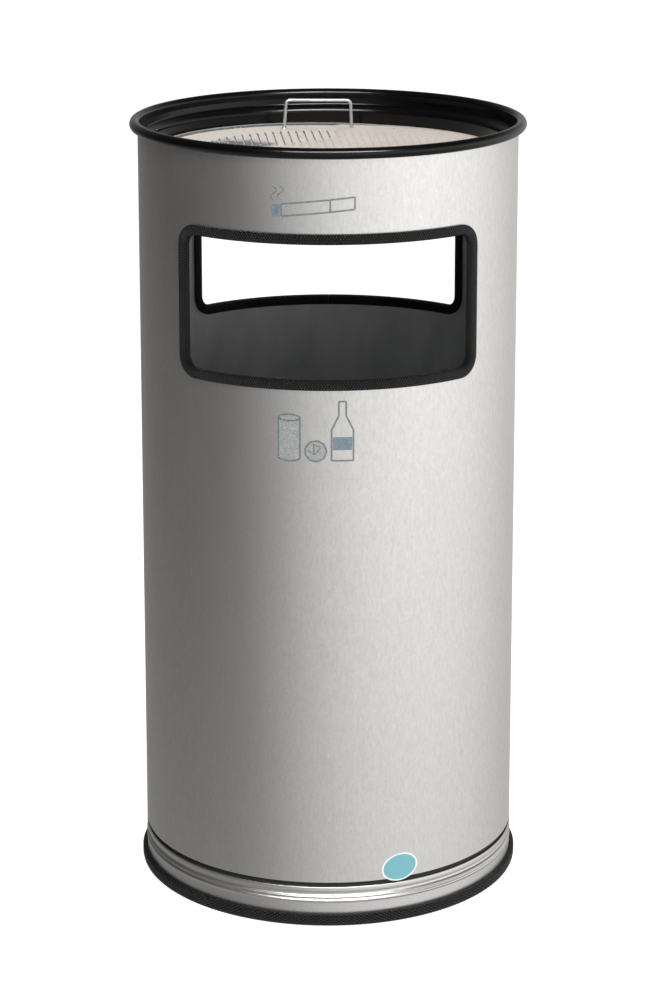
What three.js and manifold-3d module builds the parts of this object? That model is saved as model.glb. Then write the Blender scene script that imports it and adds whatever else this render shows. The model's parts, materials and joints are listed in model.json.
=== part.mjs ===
// Ashtray bin: a free-standing round litter bin in stainless sheet, with a front and a rear mouth edged
// in rubber, a lift-off ash pan of sand with a loose sieve on top, and a galvanised liner bucket inside.
// Millimetres, +Z up, origin on the floor at the centre of the base, front mouth facing -Y.

import * as THREE from 'three';
import { mergeVertices } from 'three/addons/utils/BufferGeometryUtils.js';
import Module from 'manifold-3d';

const wasm = await Module();
wasm.setup();

// ---------------------------------------------------------------- driving dimensions

const SHEET = 0.8; // thickness of every pressed or rolled sheet
const GAP = 0.3; // least gap between pieces that touch
const ROUND = 64; // facets round the shell
const ROUND_INNER = 48; // facets round everything that stands inside or under it

const BODY_R = 163;
const SHELL_LOW = 39;
const SHELL_TOP = 661;

const MOUTH_LOW = 476; // edges of the sheet cut-out, before its rubber edging
const MOUTH_HIGH = 592.6;
const MOUTH_HALF_ANGLE = THREE.MathUtils.degToRad(46.2);
const MOUTH_CORNER = 12;
const TRIM_LEG = 6.6; // how far the edging grips the sheet
const TRIM_NOSE = 2.2; // how far it stands into the mouth

const BASE_LOW = 5; // lower edge of the base ring, inside the rubber foot
const BASE_SHOULDER = 34.8; // where the base ring steps in under the shell
const COLLAR_TOP = 54; // the base ring's collar inside the shell
const FOOT_R = 167.2;
const FOOT_TOP = 10.7;
const FLOOR_Z = 16.2; // top of the floor plate

const RIM_R = 165.4; // centre of the ash pan's rolled rim
const RIM_Z = 665.4;
const RIM_TUBE = 4.6;
const PAN_WALL_TOP_R = 154.5; // inside of the pan's lower wall, under its shoulder
const PAN_WALL_LOW_R = 152;
const PAN_SHOULDER_Z = 647;
const PAN_CORNER_Z = 609;
const PAN_FLOOR_Z = 604.6; // top of the pan's floor

const SIEVE_R = 149.4;
const SIEVE_LOW = 638.2;
const SIEVE_TOP = 641.2; // top of its turned-up rim
const SIEVE_TURN = THREE.MathUtils.degToRad(4.2); // it lies a little turned and tilted on the sand
const SIEVE_TILT = THREE.MathUtils.degToRad(0.8);
const SLOT_WIDTH = 1.4;
const SLOT_PITCH = 7;
const SLOTS_EACH_SIDE = 15; // slots left and right of the middle one
const SLOT_FIELD_R = 115; // the slots end on this circle
const SLOT_BRIDGE = 10; // plain strip between the front and the back row
const HANDLE_WIRE = 1.5;
const HANDLE_HALF_WIDTH = 30.5;
const HANDLE_Y = 127.4;
const HANDLE_TOP = 666;
const HANDLE_BEND = 4;

const LINER_LOW = 16.6;
const LINER_TOP = 366;
const LINER_LOW_R = 138; // outside of the bucket at its foot
const LINER_TOP_R = 146; // and under its rolled rim
const CURL = 3.4; // radius of the rolled rim
const RIM_WIRE = 1.7;
const LINER_BASE_Z = 24;
const EAR_THICK = 1.5;
const EAR_WIDTH = 22;
const EAR_LOW = 318;
const RIVET_HEIGHTS = { lower: 326, upper: 341 };
const RIVET_SHANK = 2;
const BAIL_WIRE = 2.5;
const BAIL_R = 147;
const BAIL_Z = LINER_TOP + BAIL_WIRE + GAP; // the bail lies on the rolled rim
const PIVOT_HOLE = 3.1;

const STICKER = {
  angle: THREE.MathUtils.degToRad(22),
  z: 48.5,
  halfWidth: 16.5,
  halfHeight: 12.2,
  tilt: 0.14,
};

// ---------------------------------------------------------------- materials

const finish = (color, roughness, metalness) =>
  new THREE.MeshStandardMaterial({ color, roughness, metalness });
const brushedSteel = finish(0xb6b3ae, 0.35, 0.9);
const galvanised = finish(0xa9afb2, 0.45, 0.8);
const blackRubber = finish(0x1d1d1f, 0.75, 0);
const blackCoat = finish(0x0b0b0c, 0.3, 0.1);
const sandGrains = finish(0xd3ccc4, 0.95, 0);
const stickerFoil = finish(0x3f8f96, 0.4, 0);

// ---------------------------------------------------------------- helpers

// One closed skin with shared corners and no collapsed triangles.
function weld(geometry) {
  const bare = geometry.clone();
  bare.deleteAttribute('normal');
  bare.deleteAttribute('uv');
  const merged = mergeVertices(bare, 1e-4);
  const corners = [];
  for (let i = 0; i < merged.index.count; i += 3) {
    const [a, b, c] = [0, 1, 2].map((k) => merged.index.getX(i + k));
    if (a !== b && b !== c && c !== a) corners.push(a, b, c);
  }
  merged.setIndex(corners);
  return merged;
}

function toSolid(geometry) {
  const skin = weld(geometry);
  const vertProperties = new Float32Array(skin.attributes.position.array);
  const triVerts = new Uint32Array(skin.index.array);
  return new wasm.Manifold(new wasm.Mesh({ numProp: 3, vertProperties, triVerts }));
}

function toGeometry(solid) {
  const mesh = solid.getMesh();
  const geometry = new THREE.BufferGeometry();
  geometry.setAttribute('position', new THREE.BufferAttribute(new Float32Array(mesh.vertProperties), 3));
  geometry.setIndex(new THREE.BufferAttribute(new Uint32Array(mesh.triVerts), 1));
  geometry.computeVertexNormals();
  return geometry;
}

const cut = (solid, cutters) => cutters.reduce((body, cutter) => body.subtract(cutter), solid);

// A profile of [radius, height] corners, listed anticlockwise, turned about the Z axis.
function turned(profile, facets) {
  const closed = [...profile, profile[0]];
  const points = closed.map(([radius, height]) => new THREE.Vector2(radius, height));
  return weld(new THREE.LatheGeometry(points, facets).rotateX(Math.PI / 2));
}

// Points on an arc in a profile, from one angle to another in degrees, both ends included.
function arc(centre, radius, from, to, steps) {
  return Array.from({ length: steps + 1 }, (_, i) => {
    const angle = THREE.MathUtils.degToRad(from + ((to - from) * i) / steps);
    return [centre[0] + radius * Math.cos(angle), centre[1] + radius * Math.sin(angle)];
  });
}

// A skin through rings of equal length. It closes on its first ring, or ends in two flat caps.
function loft(rings, closesOnItself) {
  const size = rings[0].length;
  const corners = [];
  const spans = closesOnItself ? rings.length : rings.length - 1;
  for (let i = 0; i < spans; i++) {
    const here = i * size;
    const next = ((i + 1) % rings.length) * size;
    for (let j = 0; j < size; j++) {
      const k = (j + 1) % size;
      corners.push(here + j, here + k, next + k, here + j, next + k, next + j);
    }
  }
  if (!closesOnItself) {
    const last = (rings.length - 1) * size;
    for (let j = 1; j < size - 1; j++) {
      corners.push(0, j + 1, j, last, last + j, last + j + 1);
    }
  }
  const geometry = new THREE.BufferGeometry();
  const places = new Float32Array(rings.flat().flatMap((p) => p.toArray()));
  geometry.setAttribute('position', new THREE.BufferAttribute(places, 3));
  geometry.setIndex(corners);
  geometry.computeVertexNormals();
  return geometry;
}

// A round wire along a flat path. `across` is the unit normal of the path's plane.
function wire(path, across, radius, sides) {
  const rings = path.map((point, i) => {
    const before = path[Math.max(i - 1, 0)];
    const after = path[Math.min(i + 1, path.length - 1)];
    const along = after.clone().sub(before).normalize();
    const side = along.clone().cross(across);
    return Array.from({ length: sides }, (_, j) => {
      const angle = (2 * Math.PI * j) / sides;
      const reach = side.clone().multiplyScalar(radius * Math.cos(angle));
      return point.clone().add(reach).addScaledVector(across, -radius * Math.sin(angle));
    });
  });
  return loft(rings, false);
}

// A place on the rolled sheet: distance along the sheet from the front, height, and distance from the axis.
function onCylinder(along, height, radius) {
  const angle = along / BODY_R;
  return new THREE.Vector3(radius * Math.sin(angle), -radius * Math.cos(angle), height);
}

// The mouth's rounded outline on the flat sheet, moved outwards by `grow`. Its long edges are divided
// as finely as the shell's facets so that it can be rolled with the sheet.
function mouthOutline(grow) {
  const halfWidth = MOUTH_HALF_ANGLE * BODY_R - MOUTH_CORNER;
  const low = MOUTH_LOW + MOUTH_CORNER;
  const high = MOUTH_HIGH - MOUTH_CORNER;
  const radius = MOUTH_CORNER + grow;
  const divisions = 16;
  const corner = (x, y, from) => arc([x, y], radius, from, from + 90, 4);
  const between = (y, sign) =>
    Array.from({ length: divisions - 1 }, (_, i) => [sign * halfWidth * (1 - (2 * (i + 1)) / divisions), y]);
  return [
    ...corner(halfWidth, high, 0),
    ...between(high + radius, 1),
    ...corner(-halfWidth, high, 90),
    ...corner(-halfWidth, low, 180),
    ...between(low - radius, -1),
    ...corner(halfWidth, low, 270),
  ];
}

const backToFront = (geometry) => geometry.rotateZ(Math.PI);

// ---------------------------------------------------------------- outer bin

// The rolled shell with both mouths cut out. Each cutter is a wedge of the sheet's outline, from near the
// axis to far enough out that its flat outer face clears the shell.
function bodyShell() {
  const profile = [
    [BODY_R, SHELL_LOW],
    [BODY_R, SHELL_TOP],
    [BODY_R - SHEET, SHELL_TOP],
    [BODY_R - SHEET, SHELL_LOW],
  ];
  const wedgeInside = BODY_R - 40;
  const wedgeOutside = BODY_R + 100;
  const outline = new THREE.Shape(mouthOutline(0).map(([x, y]) => new THREE.Vector2(x, y)));
  const depth = wedgeOutside - wedgeInside;
  const wedge = new THREE.ExtrudeGeometry(outline, { depth, bevelEnabled: false });
  const places = wedge.attributes.position;
  for (let i = 0; i < places.count; i++) {
    const place = onCylinder(places.getX(i), places.getY(i), wedgeInside + places.getZ(i));
    places.setXYZ(i, ...place.toArray());
  }
  const shell = toSolid(turned(profile, ROUND));
  const front = toSolid(wedge);
  const rear = toSolid(backToFront(wedge.clone()));
  return toGeometry(cut(shell, [front, rear]));
}

// The rubber edging: a U section that grips the sheet round the mouth, with a rounded nose.
function mouthTrim() {
  const outside = BODY_R + 0.5;
  const inside = BODY_R - SHEET - 0.5;
  const section = [
    [TRIM_LEG - 0.5, outside + 1.9],
    [1, outside + 2.5],
    [-TRIM_NOSE + 0.7, outside + 1.7],
    [-TRIM_NOSE, outside - 0.2],
    [-TRIM_NOSE, inside + 0.2],
    [-TRIM_NOSE + 0.7, inside - 1.7],
    [1, inside - 2.6],
    [TRIM_LEG - 0.5, inside - 1.9],
    [TRIM_LEG, inside],
    [-0.4, inside],
    [-0.4, outside],
    [TRIM_LEG, outside],
  ];
  const rings = section.map(([grow, radius]) =>
    mouthOutline(grow).map(([along, height]) => onCylinder(along, height, radius)),
  );
  return loft(rings, true);
}

// The base ring: a plain band inside the foot, two fine ridges, a groove, a plain band, the recess under
// the shell and a collar that goes up inside the shell.
function baseRing() {
  const collar = BODY_R - SHEET - 0.5;
  const recess = BODY_R - 2.2;
  return turned(
    [
      [BODY_R - SHEET, BASE_LOW],
      [BODY_R, BASE_LOW],
      [BODY_R, 21.2],
      [BODY_R + 0.6, 22.4],
      [BODY_R - 0.7, 24.3],
      [BODY_R + 0.6, 25.8],
      [BODY_R - 1.3, 27.2],
      [BODY_R - 1.3, 29.8],
      [BODY_R, 30.6],
      [BODY_R, BASE_SHOULDER - 0.5],
      [recess, BASE_SHOULDER],
      [recess, SHELL_LOW + 0.6],
      [collar, SHELL_LOW + 2],
      [collar, COLLAR_TOP],
      [collar - SHEET, COLLAR_TOP],
      [recess - SHEET, SHELL_LOW],
      [recess - SHEET, 21.8],
      [BODY_R - SHEET, 20.6],
    ],
    ROUND_INNER,
  );
}

// The floor plate: a pressed disc with its edge turned down inside the base ring.
function floorPlate() {
  const edge = BODY_R - SHEET - 0.5;
  const skirt = FOOT_TOP + 0.5;
  return turned(
    [
      [0, FLOOR_Z - 1],
      [edge - 1, FLOOR_Z - 1],
      [edge - 1, skirt],
      [edge, skirt],
      [edge, FLOOR_Z],
      [0, FLOOR_Z],
    ],
    ROUND_INNER,
  );
}

// The rubber foot: a U section gripping the base ring's lower edge, flat underneath.
function baseTrim() {
  const slotOut = BODY_R + 0.45;
  const slotIn = BODY_R - SHEET - 0.4;
  return turned(
    [
      [158.6, 0],
      [FOOT_R - 4, 0],
      [FOOT_R - 1.2, 1.2],
      [FOOT_R, 4],
      [FOOT_R, FOOT_TOP - 1],
      [FOOT_R - 0.8, FOOT_TOP],
      [slotOut, FOOT_TOP],
      [slotOut, BASE_LOW - 0.4],
      [slotIn, BASE_LOW - 0.4],
      [slotIn, FOOT_TOP],
      [158.2, FOOT_TOP],
      [157.4, 1.4],
    ],
    ROUND_INNER,
  );
}

// The oval sticker, rolled on the shell in strips across its width.
function ovalSticker() {
  const strips = 10;
  const inner = BODY_R + GAP;
  const outer = inner + 0.3;
  const middle = STICKER.angle * BODY_R;
  const rings = Array.from({ length: strips + 1 }, (_, i) => {
    const across = -Math.cos((Math.PI * i) / strips) * STICKER.halfWidth;
    const up = Math.max(STICKER.halfHeight * Math.sin((Math.PI * i) / strips), 0.6);
    const corners = [
      [-up, inner],
      [up, inner],
      [up, outer],
      [-up, outer],
    ];
    return corners.map(([rise, radius]) => {
      const along = across * Math.cos(STICKER.tilt) - rise * Math.sin(STICKER.tilt);
      const height = across * Math.sin(STICKER.tilt) + rise * Math.cos(STICKER.tilt);
      return onCylinder(middle + along, STICKER.z + height, radius);
    });
  });
  return loft(rings, false);
}

// ---------------------------------------------------------------- ash pan and sand

// The pan: an open rolled rim that rests on the shell, a collar inside the shell, a rounded shoulder,
// a slightly tapered wall and a flat floor.
function ashPan() {
  const collar = RIM_R - RIM_TUBE; // inside of the collar
  const curlEnd = -150;
  const outerCurl = arc([RIM_R, RIM_Z], RIM_TUBE, curlEnd, 180, 11);
  const innerCurl = arc([RIM_R, RIM_Z], RIM_TUBE - SHEET, 180, curlEnd, 6);
  const inside = [
    [collar, 656],
    [157.6, 654],
    [155.4, 650.6],
    [PAN_WALL_TOP_R, PAN_SHOULDER_Z],
    [PAN_WALL_LOW_R, PAN_CORNER_Z],
    [PAN_WALL_LOW_R - 3.6, PAN_FLOOR_Z],
    [0, PAN_FLOOR_Z],
  ];
  const outside = [
    [0, PAN_FLOOR_Z - SHEET],
    [PAN_WALL_LOW_R - 3.2, PAN_FLOOR_Z - SHEET],
    [PAN_WALL_LOW_R + SHEET, PAN_CORNER_Z - 0.4],
    [PAN_WALL_TOP_R + SHEET, PAN_SHOULDER_Z],
    [156.1, 650.1],
    [158.2, 653.2],
    [collar + SHEET, 655.4],
  ];
  return turned([...outerCurl, ...inside, ...outside, ...innerCurl], ROUND_INNER);
}

// The sand, dry and loose, up to the underside of the sieve, with its surface tilted as the sieve lies.
function sandFill() {
  const clear = 0.6;
  const top = SIEVE_LOW - 0.6;
  const geometry = turned(
    [
      [0, PAN_FLOOR_Z + GAP],
      [PAN_WALL_LOW_R - 4.2, PAN_FLOOR_Z + GAP],
      [PAN_WALL_LOW_R - clear, PAN_CORNER_Z + 0.4],
      [PAN_WALL_TOP_R - 1.4, top],
      [0, top],
    ],
    ROUND_INNER,
  );
  const places = geometry.attributes.position;
  for (let i = 0; i < places.count; i++) {
    if (places.getZ(i) > top - 1) places.setZ(i, top - places.getX(i) * Math.tan(SIEVE_TILT));
  }
  return geometry;
}

// ---------------------------------------------------------------- sieve

// The sieve is modelled level about its own middle, at height 0 on its underside.
const SIEVE_RIM = SIEVE_TOP - SIEVE_LOW;

// A slotted disc with its edge turned up and rolled. The slots are in a front and a back row.
function sievePlate() {
  const plate = turned(
    [
      [0, 0],
      [SIEVE_R - 2, 0],
      [SIEVE_R, 0.9],
      [SIEVE_R, SIEVE_RIM - 0.8],
      [SIEVE_R - 0.9, SIEVE_RIM],
      [SIEVE_R - 2, SIEVE_RIM - 0.3],
      [SIEVE_R - 2.6, SHEET],
      [0, SHEET],
    ],
    ROUND_INNER,
  );
  const slots = [];
  for (let i = -SLOTS_EACH_SIDE; i <= SLOTS_EACH_SIDE; i++) {
    const x = i * SLOT_PITCH;
    const reach = Math.sqrt(SLOT_FIELD_R ** 2 - x ** 2);
    const length = reach - SLOT_BRIDGE / 2;
    for (const side of [-1, 1]) {
      const slot = new THREE.BoxGeometry(SLOT_WIDTH, length, 6);
      slots.push(toSolid(slot.translate(x, (side * (reach + SLOT_BRIDGE / 2)) / 2, 0)));
    }
  }
  return toGeometry(cut(toSolid(plate), slots));
}

// The lifting handle: one wire bent to a flat-topped arch, standing on the plate near its back edge.
function sieveHandle() {
  const foot = SHEET + GAP;
  const top = HANDLE_TOP - HANDLE_WIRE - SIEVE_LOW;
  const bend = (x, from) => arc([x, top - HANDLE_BEND], HANDLE_BEND, from, from - 90, 4);
  const outline = [
    [-HANDLE_HALF_WIDTH, foot],
    ...bend(HANDLE_BEND - HANDLE_HALF_WIDTH, 180),
    ...bend(HANDLE_HALF_WIDTH - HANDLE_BEND, 90),
    [HANDLE_HALF_WIDTH, foot],
  ];
  const path = outline.map(([x, z]) => new THREE.Vector3(x, HANDLE_Y, z));
  return wire(path, new THREE.Vector3(0, 1, 0), HANDLE_WIRE, 8);
}

// ---------------------------------------------------------------- liner bucket

const CURL_Z = LINER_TOP - CURL;
const CURL_R = LINER_TOP_R - SHEET + CURL;

// Outside radius of the tapered bucket wall at a height.
function linerRadius(height) {
  const share = (height - LINER_LOW) / (CURL_Z - LINER_LOW);
  return LINER_LOW_R + (LINER_TOP_R - LINER_LOW_R) * share;
}

function rivetBore(side, height, radius) {
  const bore = new THREE.CylinderGeometry(radius, radius, 20, 12).rotateZ(Math.PI / 2);
  return toSolid(bore.translate(side * LINER_TOP_R, 0, height));
}

// The bucket wall, rolled outwards over the rim wire, with bores for the ear rivets.
function linerWall() {
  const curlEnd = -110;
  const innerCurl = arc([CURL_R, CURL_Z], CURL - SHEET, 180, curlEnd, 5);
  const outerCurl = arc([CURL_R, CURL_Z], CURL, curlEnd, 180, 6);
  const wall = turned(
    [[LINER_LOW_R - SHEET, LINER_LOW], [LINER_LOW_R, LINER_LOW], ...innerCurl, ...outerCurl],
    ROUND_INNER,
  );
  const bores = [-1, 1].flatMap((side) =>
    Object.values(RIVET_HEIGHTS).map((height) => rivetBore(side, height, RIVET_SHANK + 0.4)),
  );
  return toGeometry(cut(toSolid(wall), bores));
}

const linerRimWire = () => new THREE.TorusGeometry(CURL_R, RIM_WIRE, 6, ROUND_INNER).translate(0, 0, CURL_Z);

// The bucket's base: a disc set up inside the wall, with its edge turned down to the foot.
function linerBase() {
  const edge = LINER_LOW_R - SHEET - 0.4;
  const foot = LINER_LOW + 0.4;
  return turned(
    [
      [0, LINER_BASE_Z - SHEET],
      [edge - SHEET, LINER_BASE_Z - SHEET],
      [edge - SHEET, foot],
      [edge, foot],
      [edge, LINER_BASE_Z],
      [0, LINER_BASE_Z],
    ],
    ROUND_INNER,
  );
}

// A bail ear: a strip riveted under the rim, stepped outwards round the rolled rim, with the pivot hole
// above it and a rounded top.
function linerEar(side) {
  const low = linerRadius(EAR_LOW) + 0.35;
  const bend = linerRadius(350) + 0.35;
  const clear = CURL_R + CURL + 0.5;
  const top = BAIL_Z + 8;
  const strip = new THREE.Shape([
    new THREE.Vector2(low, EAR_LOW),
    new THREE.Vector2(low + EAR_THICK, EAR_LOW),
    new THREE.Vector2(bend + EAR_THICK, 349.4),
    new THREE.Vector2(clear + EAR_THICK, 355.9),
    new THREE.Vector2(clear + EAR_THICK, top),
    new THREE.Vector2(clear, top),
    new THREE.Vector2(clear, 356.5),
    new THREE.Vector2(bend, 350),
  ]);
  const half = EAR_WIDTH / 2;
  const blank = new THREE.ExtrudeGeometry(strip, { depth: EAR_WIDTH, bevelEnabled: false });
  blank.translate(0, 0, -half).rotateX(Math.PI / 2);
  const foot = 5;
  const outline = [
    ...arc([half - foot, EAR_LOW + foot], foot, -90, 0, 3),
    ...arc([0, top - half], half, 0, 180, 8),
    ...arc([foot - half, EAR_LOW + foot], foot, 180, 270, 3),
  ];
  const tab = new THREE.Shape(outline.map(([y, z]) => new THREE.Vector2(y, z)));
  const stock = new THREE.ExtrudeGeometry(tab, { depth: 40, bevelEnabled: false });
  stock.rotateX(Math.PI / 2).rotateZ(Math.PI / 2).translate(LINER_TOP_R - 20, 0, 0);
  const pivot = new THREE.CylinderGeometry(PIVOT_HOLE, PIVOT_HOLE, 20, 16).rotateZ(Math.PI / 2);
  pivot.translate(clear, 0, BAIL_Z);
  const bores = Object.values(RIVET_HEIGHTS).map((height) => rivetBore(1, height, RIVET_SHANK + 0.4));
  const ear = cut(toSolid(blank).intersect(toSolid(stock)), [toSolid(pivot), ...bores]);
  const geometry = toGeometry(ear);
  return side < 0 ? backToFront(geometry) : geometry;
}

// A solid rivet through the ear and the wall: flat head inside the bucket, domed head outside.
function earRivet(side, height) {
  const wallInside = linerRadius(height) - SHEET - 0.6;
  const earOutside = linerRadius(height) + 0.35 + EAR_THICK + 0.4;
  const profile = [
    [0, wallInside - 1.2],
    [4, wallInside - 1],
    [4, wallInside],
    [RIVET_SHANK, wallInside],
    [RIVET_SHANK, earOutside],
    [4.2, earOutside],
    [3.2, earOutside + 1.4],
    [0, earOutside + 2],
  ];
  return turned(profile, 12).rotateY((side * Math.PI) / 2).translate(0, 0, height);
}

// The carrying bail: a wire arch whose ends turn outwards through the ears. It lies on the back of the rim.
function bailWire() {
  const tip = CURL_R + CURL + EAR_THICK + 3.3;
  const bend = 5;
  const turn = Math.asin(bend / (BAIL_R + bend));
  const bow = arc([0, 0], BAIL_R, THREE.MathUtils.radToDeg(turn), 180 - THREE.MathUtils.radToDeg(turn), 40);
  const eye = (BAIL_R + bend) * Math.cos(turn);
  const right = arc([eye, bend], bend, -90, -180 + THREE.MathUtils.radToDeg(turn), 3);
  const left = right.map(([x, y]) => [-x, y]).reverse();
  const outline = [[tip, 0], ...right.slice(0, -1), ...bow, ...left.slice(1), [-tip, 0]];
  const path = outline.map(([x, y]) => new THREE.Vector3(x, y, BAIL_Z));
  return wire(path, new THREE.Vector3(0, 0, 1), BAIL_WIRE, 8);
}

// ---------------------------------------------------------------- assembly

function add(parent, name, geometry, material) {
  const mesh = new THREE.Mesh(geometry, material);
  mesh.name = name;
  parent.add(mesh);
  return mesh;
}

const group = new THREE.Group();

add(group, 'body_shell', bodyShell(), brushedSteel);
add(group, 'front_opening_trim', mouthTrim(), blackRubber);
add(group, 'rear_opening_trim', mouthTrim(), blackRubber).rotation.z = Math.PI;
add(group, 'base_ring', baseRing(), brushedSteel);
add(group, 'floor_plate', floorPlate(), galvanised);
add(group, 'base_trim', baseTrim(), blackRubber);
add(group, 'oval_sticker', ovalSticker(), stickerFoil);

add(group, 'ash_pan', ashPan(), blackCoat);
add(group, 'sand_fill', sandFill(), sandGrains);

const sieve = new THREE.Group();
sieve.position.z = SIEVE_LOW;
sieve.rotation.set(0, SIEVE_TILT, SIEVE_TURN, 'ZYX');
group.add(sieve);
add(sieve, 'sieve_plate', sievePlate(), galvanised);
add(sieve, 'sieve_handle', sieveHandle(), galvanised);

add(group, 'liner_wall', linerWall(), galvanised);
add(group, 'liner_base', linerBase(), galvanised);
add(group, 'liner_rim_wire', linerRimWire(), galvanised);
for (const [hand, side] of Object.entries({ left: -1, right: 1 })) {
  add(group, `liner_ear_${hand}`, linerEar(side), galvanised);
  for (const [place, height] of Object.entries(RIVET_HEIGHTS)) {
    add(group, `ear_rivet_${hand}_${place}`, earRivet(side, height), galvanised);
  }
}
add(group, 'bail_wire', bailWire(), galvanised);

export default group;
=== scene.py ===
# %% [markdown]
# # An ashtray bin in brushed steel
#
# A round litter bin stands on a rubber foot. A black ash pan of sand hangs in its top, and a slotted
# sieve lies on the sand. Litter drops through a mouth at the front or the back into a liner bucket.
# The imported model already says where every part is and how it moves. This lesson gives each part its
# finished surface and its finish, and leaves every size as it is.

import json
import math

import bmesh
import bpy
import numpy as np
from mathutils import Matrix, Vector


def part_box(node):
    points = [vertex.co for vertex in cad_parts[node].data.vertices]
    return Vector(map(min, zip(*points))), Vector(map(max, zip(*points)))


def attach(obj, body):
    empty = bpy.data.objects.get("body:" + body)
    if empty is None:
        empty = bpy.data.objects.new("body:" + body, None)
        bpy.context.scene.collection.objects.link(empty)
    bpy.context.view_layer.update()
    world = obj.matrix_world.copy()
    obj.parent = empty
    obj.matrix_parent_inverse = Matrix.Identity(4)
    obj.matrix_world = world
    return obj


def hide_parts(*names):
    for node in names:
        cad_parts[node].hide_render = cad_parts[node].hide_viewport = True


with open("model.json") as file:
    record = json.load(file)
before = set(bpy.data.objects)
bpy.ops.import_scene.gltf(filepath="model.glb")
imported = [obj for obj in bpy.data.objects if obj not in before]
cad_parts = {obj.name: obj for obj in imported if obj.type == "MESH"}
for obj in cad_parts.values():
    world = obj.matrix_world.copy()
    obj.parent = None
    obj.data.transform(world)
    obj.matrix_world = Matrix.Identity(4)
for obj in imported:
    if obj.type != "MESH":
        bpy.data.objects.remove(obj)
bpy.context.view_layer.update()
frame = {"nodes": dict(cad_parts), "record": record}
MM = 0.001

# %% [markdown]
# The bin's main sizes are read from the model, so that a piece made here fits the part that it covers.

# %% Sizes taken from the model
shell_low, shell_top = (corner.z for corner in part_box("body_shell"))
BODY_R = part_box("body_shell")[1].x
SHEET = 0.8 * MM
RIM_TUBE = 4.6 * MM
RIM_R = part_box("ash_pan")[1].x - RIM_TUBE
RIM_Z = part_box("ash_pan")[1].z - RIM_TUBE
print(f"shell radius {BODY_R / MM:.1f} mm, from {shell_low / MM:.1f} to {shell_top / MM:.1f} mm up")

# %% [markdown]
# ## The camera
#
# The camera stands in front of the bin, a little above its rim, and looks down at it. A small
# shift of the picture keeps the sides of the bin nearly upright.

# %% Camera
CAMERA_DISTANCE = 2.445
CAMERA_HEIGHT = 1.051
CAMERA_TILT = math.radians(12.50)
CAMERA_SIDE = 0.0042
PICTURE_SHIFT = -0.2
FOCAL_OVER_SENSOR = 2.886
SENSOR = 36.0

camera_data = bpy.data.cameras.new("camera")
camera_data.sensor_width = SENSOR
camera_data.lens = FOCAL_OVER_SENSOR * SENSOR
camera_data.shift_y = PICTURE_SHIFT
camera_data.clip_end = 100
camera = bpy.data.objects.new("camera", camera_data)
camera.location = (CAMERA_SIDE, -CAMERA_DISTANCE, CAMERA_HEIGHT)
camera.rotation_euler = (math.pi / 2 - CAMERA_TILT, 0, 0)
bpy.context.scene.collection.objects.link(camera)
bpy.context.scene.camera = camera
bpy.context.scene.view_settings.view_transform = "Standard"
print("lens", round(camera_data.lens, 1), "mm")

# %% [markdown]
# ## Helpers that turn arrays into meshes
#
# Nearly every piece here is a grid of points: a profile turned about an axis, or a section carried along
# a path. One helper takes such a grid and makes a closed, smooth mesh with a map in metres, which the
# grain of a finish can follow.


# %% Grid to mesh
def lengths(points, closes):
    """Distance along a row of points from its first one, with the step back to the start if it closes."""
    ring = np.concatenate([points, points[:1]]) if closes else points
    steps = np.linalg.norm(np.diff(ring, axis=0), axis=-1)
    return np.concatenate([[0.0], np.cumsum(steps)])


def make_mesh(name, points, faces, corner_uv=None, sharp=35):
    """A mesh object from points and faces. Doubles are merged, and a closed shape is turned to face
    outwards: the sum of each face's corner product is six times its volume, so its sign tells."""
    mesh = bpy.data.meshes.new(name)
    mesh.from_pydata(points.tolist(), [], [list(map(int, f)) for f in faces])
    if corner_uv is not None:
        layer = mesh.uv_layers.new(name="map")
        layer.data.foreach_set("uv", np.asarray(corner_uv, np.float32).ravel())
    bm = bmesh.new()
    bm.from_mesh(mesh)
    bmesh.ops.remove_doubles(bm, verts=bm.verts, dist=1e-6)
    bmesh.ops.dissolve_degenerate(bm, edges=bm.edges, dist=1e-7)
    if bm.calc_volume(signed=True) < 0:
        bmesh.ops.reverse_faces(bm, faces=bm.faces)
    bm.to_mesh(mesh)
    bm.free()
    mesh.polygons.foreach_set("use_smooth", np.ones(len(mesh.polygons), bool))
    mesh.set_sharp_from_angle(angle=math.radians(sharp))
    piece = bpy.data.objects.new(name, mesh)
    bpy.context.scene.collection.objects.link(piece)
    return piece


def skin(name, grid, closes_rows, closes_columns, caps=False, sharp=35):
    """A skin over a grid of points (rows, columns, 3). Corner (i, j) joins (i + 1, j) and (i, j + 1),
    and the last row or column joins the first where the grid closes. The map is in metres: along the
    rows' direction in u and along the columns' direction in v."""
    rows, columns = grid.shape[:2]
    i, j = np.meshgrid(
        np.arange(rows if closes_rows else rows - 1),
        np.arange(columns if closes_columns else columns - 1),
        indexing="ij",
    )
    i, j = i.ravel(), j.ravel()
    down, right = (i + 1) % rows, (j + 1) % columns
    faces = np.stack([i * columns + j, i * columns + right, down * columns + right, down * columns + j], -1)
    u = lengths(grid[:, 0], closes_rows)
    v = lengths(grid[0], closes_columns)
    uv = np.stack([u[[i, i, i + 1, i + 1]], v[[j, j + 1, j + 1, j]]], -1).transpose(1, 0, 2).reshape(-1, 2)
    faces = faces.tolist()
    if caps:
        faces += [list(range(columns))[::-1], list(range((rows - 1) * columns, rows * columns))]
        uv = np.concatenate([uv, np.zeros((2 * columns, 2))])
    return make_mesh(name, grid.reshape(-1, 3), faces, uv, sharp)


# %% [markdown]
# Sheet metal has no knife edges. A profile is written with its few true corners, each with a radius, and
# this helper replaces a corner by a short parabola that starts and ends that far from it.


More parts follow.
